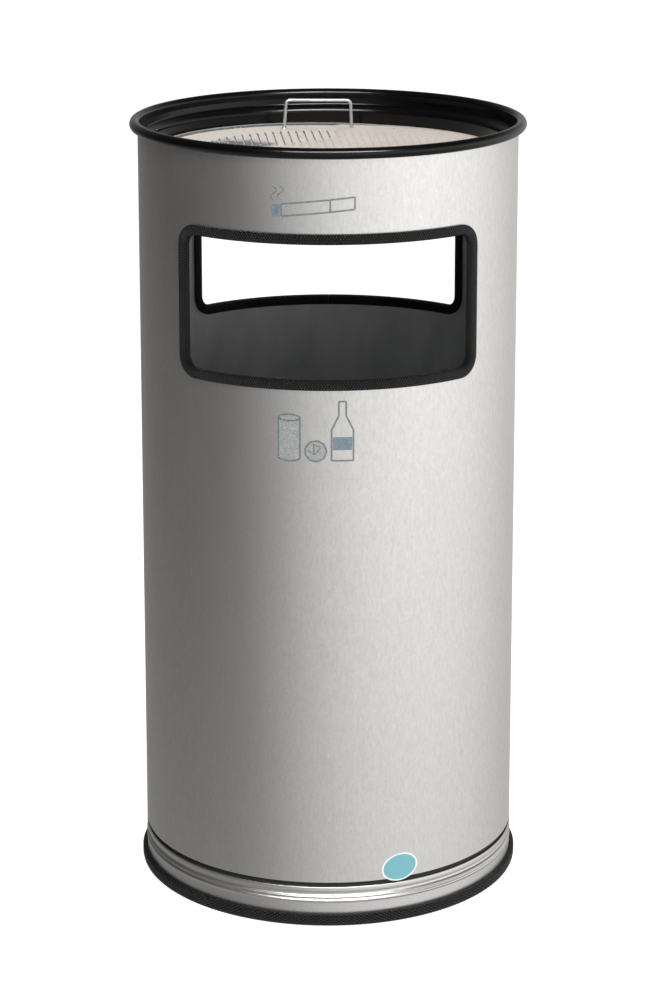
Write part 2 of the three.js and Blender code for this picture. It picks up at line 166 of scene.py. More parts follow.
# %% Rounded profiles
def rounded(corners, steps=5, closes=True):
    """Rounds a polyline of (x, y, radius): each corner B becomes (1-t)^2 A + 2t(1-t) B + t^2 C, where A and
    C lie on its two edges, at its radius or at 0.45 of the edge if that is nearer."""
    corners = np.asarray(corners, float)
    place, radius = corners[:, :2], corners[:, 2:]
    before, after = np.roll(place, 1, 0) - place, np.roll(place, -1, 0) - place
    reach_before = np.linalg.norm(before, axis=1, keepdims=True)
    reach_after = np.linalg.norm(after, axis=1, keepdims=True)
    start = place + before / reach_before * np.minimum(radius, 0.45 * reach_before)
    end = place + after / reach_after * np.minimum(radius, 0.45 * reach_after)
    t = np.linspace(0, 1, steps)[:, None, None]
    curve = (1 - t) ** 2 * start + 2 * t * (1 - t) * place + t**2 * end
    points = curve.transpose(1, 0, 2).reshape(-1, 2)
    if not closes:
        points[:steps] = place[0]
        points[-steps:] = place[-1]
    return points[np.linalg.norm(points - np.roll(points, 1, 0), axis=1) > 1e-9]


def arc(centre, radius, start, end, steps):
    """Points on a circle from one angle to another, in degrees."""
    angle = np.radians(np.linspace(start, end, steps))
    return np.stack([centre[0] + radius * np.cos(angle), centre[1] + radius * np.sin(angle)], -1)


def turned(name, profile, facets=192, sharp=35):
    """A closed profile of (radius, height) in metres turned about Z: x = r sin a, y = -r cos a."""
    angle = np.linspace(0, 2 * np.pi, facets, endpoint=False)
    r, z = np.asarray(profile)[:, :1], np.asarray(profile)[:, 1:]
    grid = np.stack([r * np.sin(angle), -r * np.cos(angle), z + 0 * angle], -1)
    return skin(name, grid, True, True, sharp=sharp)


def wire(name, path, radius, sides=20, closes=False):
    """A round wire along a flat path: at each point, a circle spanned by the path's plane normal and by
    the direction across the path."""
    path = np.asarray(path, float)
    along = np.roll(path, -1, 0) - np.roll(path, 1, 0)
    if not closes:
        along[0], along[-1] = path[1] - path[0], path[-1] - path[-2]
    along /= np.linalg.norm(along, axis=1, keepdims=True)
    plane = np.cross(along[0], along[len(along) // 3])
    plane /= np.linalg.norm(plane)
    across = np.cross(along, plane)
    angle = np.linspace(0, 2 * np.pi, sides, endpoint=False)[None, :, None]
    grid = path[:, None] + radius * (np.cos(angle) * across[:, None] + np.sin(angle) * plane)
    return skin(name, grid, closes, True, caps=not closes)


# %% [markdown]
# The shell, its two rubber edgings, the printed signs and the sticker all lie on one cylinder. They are
# laid out on the flat sheet, as a sheet-metal worker does, and then rolled: a distance along the sheet
# becomes an angle, and a third number says how far from the axis the point lies.


# %% Rolling a flat layout
def roll(along, height, radius):
    """(distance along the sheet from the front, height, distance from the axis) to a place in space."""
    angle = along / BODY_R
    return np.stack([radius * np.sin(angle), -radius * np.cos(angle), height + 0 * angle], -1)


def rolled_plate(name, flat, faces, inner, outer, sharp=35):
    """A plate cut from flat faces and rolled. Its outer skin is the faces, its inner skin the same faces
    turned over, and every edge that only one face uses gets a wall between the two."""
    flat = np.asarray(flat, float)
    faces = [list(map(int, f)) for f in faces]
    count = len(flat)
    edges = np.array([(a, b) for f in faces for a, b in zip(f, f[1:] + f[:1])])
    key = edges.min(1) * count + edges.max(1)
    _, first, uses = np.unique(key, return_index=True, return_counts=True)
    rim = edges[first[uses == 1]]
    walls = np.stack([rim[:, 1], rim[:, 0], rim[:, 0] + count, rim[:, 1] + count], -1)
    points = np.concatenate([roll(flat[:, 0], flat[:, 1], outer), roll(flat[:, 0], flat[:, 1], inner)])
    every = faces + [[c + count for c in f[::-1]] for f in faces] + walls.tolist()
    flat_twice = np.concatenate([flat, flat])
    uv = flat_twice[np.concatenate([np.asarray(f) for f in every])]
    return make_mesh(name, points, every, uv, sharp)


# %% [markdown]
# ## Finishes
#
# Each finish is a small node tree on the Principled shader. Patterns read Object coordinates, or the
# map in metres where a grain has to follow the piece.


# %% Material helpers
def new_material(name, color, roughness, metallic=0.0, **fixed):
    """A Principled material with its even values set on the shader's own sockets."""
    material = bpy.data.materials.new(name)
    material.use_nodes = True
    tree = material.node_tree
    shader = tree.nodes["Principled BSDF"]
    shader.inputs["Base Color"].default_value = (*color, 1)
    shader.inputs["Roughness"].default_value = roughness
    shader.inputs["Metallic"].default_value = metallic
    for socket, value in fixed.items():
        shader.inputs[socket.replace("_", " ")].default_value = value
    return material, tree, shader


def node(tree, kind, inputs=None, **settings):
    """One node, with its settings and its inputs: a socket is linked, and a value is set."""
    made = tree.nodes.new("ShaderNode" + kind)
    for key, value in settings.items():
        setattr(made, key, value)
    for key, value in (inputs or {}).items():
        if isinstance(value, bpy.types.NodeSocket):
            tree.links.new(value, made.inputs[key])
        else:
            made.inputs[key].default_value = value
    return made


def calc(tree, operation, *values):
    """A Math node's result."""
    return node(tree, "Math", dict(enumerate(values)), operation=operation).outputs[0]


def coordinates(tree, source, scale=(1, 1, 1), turn=0.0):
    """Object or UV coordinates, stretched, and turned about Z."""
    place = node(tree, "TexCoord").outputs[source]
    settings = {"Vector": place, "Scale": scale, "Rotation": (0, 0, turn)}
    return node(tree, "Mapping", settings).outputs[0]


def noise(tree, vector, scale, detail=3, roughness=0.55):
    """Noise from 0 to 1."""
    inputs = {"Vector": vector, "Scale": scale, "Detail": detail, "Roughness": roughness}
    return node(tree, "TexNoise", inputs).outputs[0]


def spread(tree, value, low, high, start=0.0, end=1.0):
    """Maps a value from low..high to start..end, held at both ends."""
    inputs = {"Value": value, 1: low, 2: high, 3: start, 4: end}
    return node(tree, "MapRange", inputs).outputs[0]


def blend_color(tree, factor, first, second):
    """A colour between two, by a factor."""
    made = node(tree, "Mix", data_type="RGBA")
    sockets = {0: factor, 6: first, 7: second}
    for key, value in sockets.items():
        if isinstance(value, bpy.types.NodeSocket):
            tree.links.new(value, made.inputs[key])
        else:
            made.inputs[key].default_value = value if key == 0 else (*value, 1)
    return made.outputs[2]


def bump(tree, shader, height, distance, strength=1.0):
    """Raises the surface by a height in metres times distance."""
    made = node(tree, "Bump", {"Height": height, "Distance": distance, "Strength": strength})
    tree.links.new(made.outputs[0], shader.inputs["Normal"])


def finish(piece, material, slot, body, *covered):
    """Gives a piece its material and its body, and hides the model's parts that it stands for. The slot is
    not used.
    """
    piece.data.materials.clear()
    piece.data.materials.append(material)
    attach(piece, body)
    if covered:
        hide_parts(*covered)
    print(f"{piece.name}: {len(piece.data.polygons)} faces on {body}")


def second_finish(piece, material, rule):
    """A second material on the faces that a rule picks by their distance from the axis and height."""
    piece.data.materials.append(material)
    centres = np.zeros(3 * len(piece.data.polygons))
    piece.data.polygons.foreach_get("center", centres)
    x, y, z = centres.reshape(-1, 3).T
    picked = rule(np.hypot(x, y), z)
    piece.data.polygons.foreach_set("material_index", picked.astype(np.int32))
    print(f"{piece.name}: {picked.sum()} faces in {material.name}")


# %% [markdown]
# ### Brushed steel
#
# The sheet is brushed from top to bottom, which leaves fine upright scratches. They spread a reflection
# sideways, so the metal shades softly round the cylinder and stays sharper up and down. That is what the
# anisotropic value does, with the tangent taken along the sheet's width. The scratches themselves are
# noise squeezed along their length: a fine one, a coarser one, and a slow cloud for uneven sheen.


# %% Brushed steel
def brushed_steel(name, stretch, spread_out, rough, depth):
    """Steel brushed along an axis: stretch squeezes the noise along the scratches, spread_out is the
    anisotropy across them, rough is the roughness of its smoothest parts, and depth is how deep the
    scratches are in metres."""
    material, tree, shader = new_material(name, (0.62, 0.61, 0.59), rough, 1.0, Anisotropic=spread_out)
    fine = noise(tree, coordinates(tree, "Object", stretch), 1500, 2)
    short = noise(tree, coordinates(tree, "Object", stretch), 420, 3, 0.7)
    slow = noise(tree, coordinates(tree, "Object", (1, 1, 0.3)), 24, 3)
    mixed = calc(tree, "ADD", calc(tree, "MULTIPLY", fine, 0.5), calc(tree, "MULTIPLY", short, 0.5))
    tone = spread(tree, mixed, 0.3, 0.7)
    color = blend_color(tree, tone, (0.54, 0.53, 0.515), (0.69, 0.675, 0.655))
    tree.links.new(color, shader.inputs["Base Color"])
    uneven = spread(tree, slow, 0.3, 0.7, 0.0, 0.035)
    grain = calc(tree, "ADD", spread(tree, mixed, 0.3, 0.7, rough + 0.08, rough), uneven)
    tree.links.new(grain, shader.inputs["Roughness"])
    tangent = node(tree, "Tangent", direction_type="UV_MAP", uv_map="map")
    tree.links.new(tangent.outputs[0], shader.inputs["Tangent"])
    bump(tree, shader, mixed, depth)
    return material


shell_steel = brushed_steel("shell_steel", (1, 1, 0.3), 0.55, 0.32, 0.00003)
print("made", shell_steel.name)

# %% [markdown]
# ## The shell
#
# The shell is one sheet with two mouths cut in it. A boolean cut would leave long slivers that spoil a
# mirror-like finish, so the sheet is laid out as a grid whose cells bend to the mouths: round each mouth,
# rings of cells run from its rounded outline to a rectangle of ordinary cells.

# %% Mouth outline
MOUTH_LOW, MOUTH_HIGH = 476.0 * MM, 592.6 * MM
MOUTH_HALF = math.radians(46.2) * BODY_R
MOUTH_CORNER = 12 * MM
MOUTH_MIDDLE = (MOUTH_LOW + MOUTH_HIGH) / 2
CORNER_CENTRE = np.array([MOUTH_HALF - MOUTH_CORNER, (MOUTH_HIGH - MOUTH_LOW) / 2 - MOUTH_CORNER])


def to_outline(points, grow=0.0):
    """The nearest point of the mouth's outline to each given one: step to the inner rectangle of corner
    centres, then out again by the corner radius in the same direction."""
    local = points - [0, MOUTH_MIDDLE]
    centre = np.clip(local, -CORNER_CENTRE, CORNER_CENTRE)
    out = local - centre
    out /= np.linalg.norm(out, axis=1, keepdims=True)
    return centre + out * (MOUTH_CORNER + grow) + [0, MOUTH_MIDDLE]


def outline_ring(grow, corner_steps=13, edge_steps=40, side_steps=5):
    """The mouth's outline as one closed ring of points, starting at the bottom centre."""
    half = CORNER_CENTRE
    radius = MOUTH_CORNER + grow
    parts = []
    for sign_x, sign_y, start in ((1, -1, -90), (1, 1, 0), (-1, 1, 90), (-1, -1, 180)):
        parts.append(arc((sign_x * half[0], sign_y * half[1]), radius, start, start + 90, corner_steps))
    bottom = np.linspace(0, half[0], edge_steps, endpoint=False)
    right = np.linspace(-half[1], half[1], side_steps + 1)[1:-1]
    top = np.linspace(half[0], -half[0], 2 * edge_steps + 1)[1:-1]
    ring = np.concatenate(
        [
            np.stack([bottom, 0 * bottom - half[1] - radius], -1),
            parts[0],
            np.stack([0 * right + half[0] + radius, right], -1),
            parts[1],
            np.stack([top, 0 * top + half[1] + radius], -1),
            parts[2],
            np.stack([0 * right - half[0] - radius, -right], -1),
            parts[3],
            np.stack([bottom[::-1] * -1, 0 * bottom - half[1] - radius], -1)[:-1],
        ]
    )
    return ring + [0, MOUTH_MIDDLE]


print("mouth", round(2 * MOUTH_HALF / MM), "x", round((MOUTH_HIGH - MOUTH_LOW) / MM), "mm on the flat")

# %% Shell sheet
COLUMNS = 144
MARGIN_COLUMNS = 6
pitch = 2 * np.pi * BODY_R / COLUMNS
near = round(MOUTH_HALF / pitch) + MARGIN_COLUMNS
heights = np.concatenate(
    [
        np.linspace(shell_low, 0.450, 24, endpoint=False),
        np.linspace(0.450, 0.618, 25),
        np.linspace(0.618, shell_top, 6)[1:],
    ]
)
low_row, high_row = 24, 48
RINGS = 5


def sheet_layout():
    """Cells of the flat sheet: plain columns and rows, with each mouth's block replaced by rings of cells
    whose corners slide in equal steps from the block's edge to the mouth's outline."""
    s, z = np.meshgrid((np.arange(COLUMNS) - near) * pitch, heights, indexing="ij")
    points = [np.stack([s, z], -1).reshape(-1, 2)]
    tall = len(heights)
    i, j = (a.ravel() for a in np.meshgrid(np.arange(COLUMNS), np.arange(tall - 1), indexing="ij"))
    here, beside = i * tall + j, (i + 1) % COLUMNS * tall + j
    plain = np.stack([here, beside, beside + 1, here + 1], -1)
    keep = np.ones(len(i), bool)
    faces = []
    total = COLUMNS * tall
    for first in (0, COLUMNS // 2):
        inside = (i >= first) & (i < first + 2 * near) & (j >= low_row) & (j < high_row)
        keep &= ~inside
        across, up = np.arange(2 * near), np.arange(low_row, high_row)
        edge_i = np.concatenate([across, 0 * up + 2 * near, across[::-1] + 1, 0 * up])
        edge_j = np.concatenate([0 * across + low_row, up, 0 * across + high_row, up[::-1] + 1])
        outer = (first + edge_i) * tall + edge_j
        flat = np.stack([(edge_i - near) * pitch, heights[edge_j]], -1)
        target = to_outline(flat)
        ring = outer
        for step in range(1, RINGS + 1):
            moved = flat + (target - flat) * (step / RINGS) + [first * pitch, 0]
            fresh = total + np.arange(len(flat))
            points.append(moved)
            total += len(flat)
            faces.append(np.stack([ring, np.roll(ring, -1), np.roll(fresh, -1), fresh], -1))
            ring = fresh
    return np.concatenate(points), np.concatenate([plain[keep], *faces])


flat, cells = sheet_layout()
shell = rolled_plate("shell_sheet", flat, cells, BODY_R - SHEET, BODY_R)
finish(shell, shell_steel, "shell_steel", "bin", "body_shell")


# %% Mill finish inside
def mill_steel():
    """The sheet's other side, dull and grey as it left the mill, with a slow cloud of handling marks."""
    material, tree, shader = new_material("inner_steel", (0.5, 0.5, 0.49), 0.62, 0.35)
    cloud = noise(tree, coordinates(tree, "Object", (1, 1, 0.4)), 30, 4, 0.6)
    color = blend_color(tree, spread(tree, cloud, 0.3, 0.7), (0.46, 0.46, 0.455), (0.60, 0.60, 0.59))
    tree.links.new(color, shader.inputs["Base Color"])
    tree.links.new(spread(tree, cloud, 0.3, 0.7, 0.55, 0.7), shader.inputs["Roughness"])
    return material


second_finish(shell, mill_steel(), lambda radius, height: radius < BODY_R - 0.7 * SHEET)

# %% [markdown]
# ## The rubber edgings
#
# A moulded rubber channel is pushed over the cut edge. Its section is carried round the mouth's outline,
# and its two ends are butted at the bottom centre, which shows as a fine joint. The rubber has a moulded
# grain of small lozenges, made as a bump that follows the channel.


# %% Grained rubber
def grained_rubber(name, size):
    """Black rubber with lozenges: the product of two waves that cross at an angle on the map. Their crowns
    are lighter in colour, a painted highlight of the glints on them.
    """
    material, tree, shader = new_material(name, (0.012, 0.012, 0.013), 0.42, Specular_IOR_Level=0.18)
    place = node(tree, "SeparateXYZ", {0: coordinates(tree, "UV", (1 / size, 0.62 / size, 1))})
    u, v = place.outputs[0], place.outputs[1]
    wander = calc(tree, "MULTIPLY", noise(tree, coordinates(tree, "Object"), 700, 2), 0.9)
    one, two = (
        calc(tree, "ABSOLUTE", calc(tree, "SINE", calc(tree, "MULTIPLY_ADD", crossed, math.pi, wander)))
        for crossed in (calc(tree, "ADD", u, v), calc(tree, "SUBTRACT", u, v))
    )
    lozenge = calc(tree, "MULTIPLY", one, two)
    fine = noise(tree, coordinates(tree, "Object"), 2600, 2)
    height = calc(tree, "ADD", lozenge, calc(tree, "MULTIPLY", fine, 0.25))
    # Painted highlight: the lozenges' crowns are made lighter in colour, standing in for their glints.
    painted_crown_glints = spread(tree, lozenge, 0.35, 0.95)
    color = blend_color(tree, painted_crown_glints, (0.0015, 0.0015, 0.0015), (0.055, 0.055, 0.058))
    tree.links.new(color, shader.inputs["Base Color"])
    tree.links.new(spread(tree, lozenge, 0, 1, 0.62, 0.30), shader.inputs["Roughness"])
    bump(tree, shader, height, 0.0014)
    return material


trim_rubber = grained_rubber("trim_rubber", 2.3 * MM)
foot_rubber = grained_rubber("foot_rubber", 2.6 * MM)
print("made", trim_rubber.name, foot_rubber.name)

# %% Edging round each mouth
LEG, NOSE = 6.6 * MM, 2.2 * MM
outside, inside = BODY_R + 0.5 * MM, BODY_R - SHEET - 0.5 * MM
edging_section = rounded(
    [
        (LEG, outside, 0.4 * MM),
        (LEG, outside + 1.9 * MM, 1.3 * MM),
        (1.0 * MM, outside + 2.9 * MM, 3.0 * MM),
        (-NOSE, outside + 1.9 * MM, 2.2 * MM),
        (-NOSE, inside - 1.9 * MM, 2.2 * MM),
        (1.0 * MM, inside - 2.9 * MM, 3.0 * MM),
        (LEG, inside - 1.9 * MM, 1.3 * MM),
        (LEG, inside, 0.4 * MM),
        (-0.4 * MM, inside, 0.3 * MM),
        (-0.4 * MM, outside, 0.3 * MM),
    ],
    steps=6,
)
JOINT = 0.02 * MM


def edging(name, start):
    """The channel: for each point of the section, a ring round the mouth that much further out."""
    rings = np.stack([outline_ring(grow) for grow, _ in edging_section])
    rings = np.concatenate([rings, rings[:, :1]], 1)
    rings[:, 0, 0] += JOINT
    rings[:, -1, 0] -= JOINT
    radius = edging_section[:, 1][:, None]
    grid = roll(rings[..., 0] + start, rings[..., 1], radius)
    return skin(name, grid.transpose(1, 0, 2), False, True, caps=True, sharp=50)


half_turn = math.pi * BODY_R
finish(edging("front_edging", 0), trim_rubber, "trim_rubber", "bin", "front_opening_trim")
finish(edging("rear_edging", half_turn), trim_rubber, "trim_rubber", "bin", "rear_opening_trim")

# %% [markdown]
# ## The base
#
# A rolled ring closes the foot of the shell: a recess under the shell, a plain band, a groove, two fine
# ridges and another plain band that goes down into the rubber foot. It is brushed round its length.

# %% Base ring
ring_steel = brushed_steel("ring_steel", (1, 1, 1.5), 0.0, 0.27, 0.000004)
collar = BODY_R - SHEET - 0.5 * MM
recess = BODY_R - 2.2 * MM
ring_profile = rounded(
    [
        (BODY_R - SHEET, 5 * MM, 0),
        (BODY_R, 5 * MM, 0),
        (BODY_R, 21.0 * MM, 0.8 * MM),
        (BODY_R + 0.7 * MM, 22.4 * MM, 0.9 * MM),
        (BODY_R - 0.8 * MM, 24.2 * MM, 0.8 * MM),
        (BODY_R + 0.7 * MM, 25.9 * MM, 0.9 * MM),
        (BODY_R - 1.3 * MM, 27.3 * MM, 0.8 * MM),
        (BODY_R - 1.3 * MM, 29.7 * MM, 0.8 * MM),
        (BODY_R, 30.6 * MM, 0.6 * MM),
        (BODY_R, 34.6 * MM, 0.7 * MM),
        (recess, 34.9 * MM, 0.4 * MM),
        (recess, 39.8 * MM, 0.8 * MM),
        (collar, 41 * MM, 0.8 * MM),
        (collar, 54 * MM, 0),
        (collar - SHEET, 54 * MM, 0),
        (recess - SHEET, 39 * MM, 0.8 * MM),
        (recess - SHEET, 21.8 * MM, 0.8 * MM),
        (BODY_R - SHEET, 20.6 * MM, 0.8 * MM),
    ]
)
band_piece = turned("base_band", ring_profile, 240)
finish(band_piece, ring_steel, "ring_steel", "bin", "base_ring")
# Painted shade: the faces of the recess under the shell's edge get a near-black paint that stands in for the
# shadow in it.
recess_painted_shade, _, _ = new_material("recess_painted_shade", (0.012, 0.012, 0.013), 0.7)
GROOVE_LOW, GROOVE_R = 34.7 * MM, BODY_R - 0.7 * MM
second_finish(band_piece, recess_painted_shade, lambda radius, height: (height > GROOVE_LOW) & (radius < GROOVE_R))

# %% Rubber foot
FOOT_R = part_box("base_trim")[1].x
foot_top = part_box("base_trim")[1].z
foot_profile = rounded(
    [
        (158.6 * MM, 0, 0.8 * MM),
        (FOOT_R - 3.2 * MM, 0, 1.5 * MM),
        (FOOT_R, 2.6 * MM, 3.0 * MM),
        (FOOT_R, foot_top, 1.3 * MM),
        (BODY_R + 0.45 * MM, foot_top, 0.3 * MM),
        (BODY_R + 0.45 * MM, 4.6 * MM, 0),
        (BODY_R - SHEET - 0.4 * MM, 4.6 * MM, 0),
        (BODY_R - SHEET - 0.4 * MM, foot_top, 0.3 * MM),
        (158.2 * MM, foot_top, 0.8 * MM),
        (157.4 * MM, 1.4 * MM, 0.8 * MM),
    ]
)
finish(turned("foot_band", foot_profile, 240), foot_rubber, "foot_rubber", "bin", "base_trim")

# %% [markdown]
# ## The ash pan
#
# The pan is spun from sheet and coated in black. Its rim is rolled over outwards and rests on the shell.
# Below the rim a short collar drops into the shell, then a soft shoulder steps in to the pan's own wall.


# %% Black coat
def black_coat():
    """Smooth black powder coat: nearly black, glossy, with the faint orange peel of sprayed powder."""
    material, tree, shader = new_material("pan_coat", (0.002, 0.002, 0.0024), 0.2, Specular_IOR_Level=0.24)
    peel = noise(tree, coordinates(tree, "Object"), 260, 2)
    dust = noise(tree, coordinates(tree, "Object"), 30, 4)
    tree.links.new(spread(tree, dust, 0.35, 0.75, 0.18, 0.26), shader.inputs["Roughness"])
    bump(tree, shader, peel, 0.000012)
    return material


pan_coat = black_coat()
collar_in = RIM_R - RIM_TUBE
pan_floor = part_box("ash_pan")[0].z + SHEET
WALL_TOP_R, SHOULDER, SHOULDER_Z = 154.5 * MM, 6.6 * MM, 649 * MM
pan_collar = [(collar_in, RIM_Z), (collar_in, 657.4 * MM), (collar_in - 0.25 * MM, 656.3 * MM)]
shoulder = arc((WALL_TOP_R + SHOULDER, SHOULDER_Z), SHOULDER, 100, 178, 16)
pan_wall = rounded(
    [(WALL_TOP_R, 647 * MM, 0), (152 * MM, pan_floor, 5.5 * MM), (0, pan_floor, 0)], steps=8, closes=False
)
inner_wall = np.concatenate([pan_collar, shoulder, pan_wall])
curl_end = -150
rim_outer = arc((RIM_R, RIM_Z), RIM_TUBE, curl_end, 180, 34)
rim_inner = arc((RIM_R, RIM_Z), RIM_TUBE - SHEET, 180, curl_end, 22)


def offset(points, thickness):
    """The same line moved sideways by a sheet's thickness, to the left of its direction."""
    along = np.gradient(points, axis=0)
    along /= np.linalg.norm(along, axis=1, keepdims=True)
    return points + thickness * np.stack([-along[:, 1], along[:, 0]], -1)


outer_wall = offset(inner_wall, -SHEET)[::-1]
outer_wall[0, 0] = 0
pan_profile = np.concatenate([rim_outer, inner_wall[1:], outer_wall[:-1], rim_inner])
pan_profile = pan_profile[np.linalg.norm(pan_profile - np.roll(pan_profile, 1, 0), axis=1) > 1e-8]
finish(turned("pan_shell", pan_profile, 240), pan_coat, "pan_coat", "ash_pan", "ash_pan")

# %% [markdown]
# ## The sieve
#
# The sieve is a zinc-plated disc with two rows of narrow slots and a turned-up edge. It lies a little
# turned and tilted on the sand. A filled flat curve with a hole for each slot gives clean slots with
# round ends, which no grid could follow. The edge is turned about the same axis and joined to the disc.

# %% How the sieve lies
SIEVE_R = 149.4 * MM
SIEVE_LOW = 638.2 * MM
SIEVE_TURN, SIEVE_TILT = math.radians(4.2), math.radians(0.8)
SLOT_WIDTH, SLOT_PITCH = 1.5 * MM, 7 * MM
SLOT_FIELD_R, SLOT_BRIDGE = 115 * MM, 10 * MM
sieve_place = (
    Matrix.Translation((0, 0, SIEVE_LOW))
    @ Matrix.Rotation(SIEVE_TURN, 4, "Z")
    @ Matrix.Rotation(SIEVE_TILT, 4, "Y")
)


def apply_place(piece, place):
    """Moves a piece's points by a matrix, so that its object stays at the origin."""
    piece.data.transform(place)


def slot_outline(x, low, high):
    """A slot with half-round ends, as a closed ring of points."""
    half = SLOT_WIDTH / 2
    top, bottom = arc((x, high - half), half, 0, 180, 6), arc((x, low + half), half, 180, 360, 6)
    return np.concatenate([top, bottom])


def slotted_disc(name, radius, thickness):
    """A disc with the slots as holes, filled as a flat curve and given its thickness."""
    curve = bpy.data.curves.new(name, "CURVE")
    curve.dimensions = "2D"
    curve.fill_mode = "BOTH"
    curve.extrude = thickness / 2
    rings = [arc((0, 0), radius, 0, 360, 193)[:-1]]
    for x in np.arange(-15, 16) * SLOT_PITCH:
        reach = math.sqrt(SLOT_FIELD_R**2 - x**2)
        rings += [slot_outline(x, SLOT_BRIDGE / 2, reach), slot_outline(x, -reach, -SLOT_BRIDGE / 2)]
    for ring in rings:
        spline = curve.splines.new("POLY")
        spline.points.add(len(ring) - 1)
        flat = np.column_stack([ring, np.zeros(len(ring)), np.ones(len(ring))])
        spline.points.foreach_set("co", flat.ravel())
        spline.use_cyclic_u = True
    holder = bpy.data.objects.new(name, curve)
    bpy.context.scene.collection.objects.link(holder)
    mesh = bpy.data.meshes.new_from_object(holder)
    bpy.data.objects.remove(holder)
    bm = bmesh.new()
    bm.from_mesh(mesh)
    bmesh.ops.remove_doubles(bm, verts=bm.verts, dist=1e-6)
    bmesh.ops.recalc_face_normals(bm, faces=bm.faces)
    bm.to_mesh(mesh)
    bm.free()
    mesh.transform(Matrix.Translation((0, 0, thickness / 2)))
    piece = bpy.data.objects.new(name, mesh)
    bpy.context.scene.collection.objects.link(piece)
    return piece


def join(pieces, name):
    """Joins pieces into one mesh object under one name."""
    bm = bmesh.new()
    for piece in pieces:
        bm.from_mesh(piece.data)
    mesh = bpy.data.meshes.new(name)
    bm.to_mesh(mesh)
    bm.free()
    for piece in pieces:
        bpy.data.objects.remove(piece)
    mesh.set_sharp_from_angle(angle=math.radians(35))
    joined = bpy.data.objects.new(name, mesh)
    bpy.context.scene.collection.objects.link(joined)
    return joined


sieve_edge = rounded(
    [
        (SIEVE_R - 4.2 * MM, 0.05 * MM, 0),
        (SIEVE_R, 0.05 * MM, 1.2 * MM),
        (SIEVE_R, 3.0 * MM, 0.9 * MM),
        (SIEVE_R - 2.0 * MM, 3.0 * MM, 0.9 * MM),
        (SIEVE_R - 2.4 * MM, 0.85 * MM, 0.6 * MM),
        (SIEVE_R - 4.2 * MM, 0.85 * MM, 0),
    ]
)
sieve = join([slotted_disc("disc", SIEVE_R - 3.2 * MM, SHEET), turned("edge", sieve_edge)], "sieve_disc")
apply_place(sieve, sieve_place)
print("sieve faces:", len(sieve.data.polygons))


# %% Dusty zinc
def dusty_zinc():
    """Zinc plate with a coat of sand dust. The dust is thick nearly everywhere and worn to bare metal in a
    patch at the left back, where a noise lets it break up, and on the turned-up edge. That edge's bare zinc
    is made lighter still as a painted highlight, and a dark line in the crease inside it is painted shade."""
    material, tree, shader = new_material("sieve_zinc", (0.6, 0.57, 0.53), 0.6)
    place = coordinates(tree, "Object")
    patch_at = {0: place, 1: (-0.076, 0.032, 0.64)}
    to_patch = node(tree, "VectorMath", patch_at, operation="DISTANCE").outputs["Value"]
    level = node(tree, "VectorMath", {0: place, 1: (1, 1, 0)}, operation="MULTIPLY").outputs[0]
    from_axis = node(tree, "VectorMath", {0: level}, operation="LENGTH").outputs["Value"]
    edge = spread(tree, from_axis, SIEVE_R - 1.9 * MM, SIEVE_R - 1.5 * MM)
    cloud = noise(tree, place, 85, 5, 0.7)
    worn = calc(tree, "MULTIPLY_ADD", cloud, 0.7, spread(tree, to_patch, 0.012, 0.05, 0.40, -0.1))
    bare = calc(tree, "MAXIMUM", spread(tree, worn, 0.44, 0.66), edge)
    grain = noise(tree, place, 1300, 3, 0.7)
    dust = blend_color(tree, spread(tree, grain, 0.3, 0.7), (0.46, 0.42, 0.375), (0.72, 0.68, 0.625))
    metal = blend_color(tree, cloud, (0.33, 0.37, 0.40), (0.50, 0.54, 0.56))
    # Painted highlight: the bare zinc on the turned-up edge is made lighter still, for the light line along
    # it.
    bright = blend_color(tree, edge, metal, (0.80, 0.81, 0.80))
    mixed = blend_color(tree, bare, dust, bright)
    # Painted shade: a dark line in the crease just inside the turned-up edge, where its shadow falls.
    crease = calc(tree, "ABSOLUTE", calc(tree, "SUBTRACT", from_axis, SIEVE_R - 2.5 * MM))
    dark = spread(tree, crease, 0.4 * MM, 0.8 * MM, 0.85, 0)
    tree.links.new(blend_color(tree, dark, mixed, (0.05, 0.05, 0.05)), shader.inputs["Base Color"])
    tree.links.new(spread(tree, bare, 0, 1, 0.0, 0.75), shader.inputs["Metallic"])
    tree.links.new(spread(tree, bare, 0, 1, 0.9, 0.36), shader.inputs["Roughness"])
    bump(tree, shader, grain, 0.0003, 0.6)
    return material


finish(sieve, dusty_zinc(), "sieve_zinc", "sieve", "sieve_plate")


# %% Bright zinc wire
def bright_zinc(name, color=(0.62, 0.65, 0.66), rough=0.3, metallic=1.0):
    """Zinc-plated wire: bright, a little cloudy, with fine drawing marks."""
    material, tree, shader = new_material(name, color, rough, metallic)
    cloud = noise(tree, coordinates(tree, "Object"), 160, 4, 0.6)
    fine = noise(tree, coordinates(tree, "Object"), 2400, 2)
    dark = tuple(0.78 * channel for channel in color)
    mottled = blend_color(tree, spread(tree, cloud, 0.3, 0.75), color, dark)
    tree.links.new(mottled, shader.inputs["Base Color"])
    tree.links.new(spread(tree, cloud, 0.3, 0.7, rough - 0.04, rough + 0.14), shader.inputs["Roughness"])
    bump(tree, shader, fine, 0.00003)
    return material


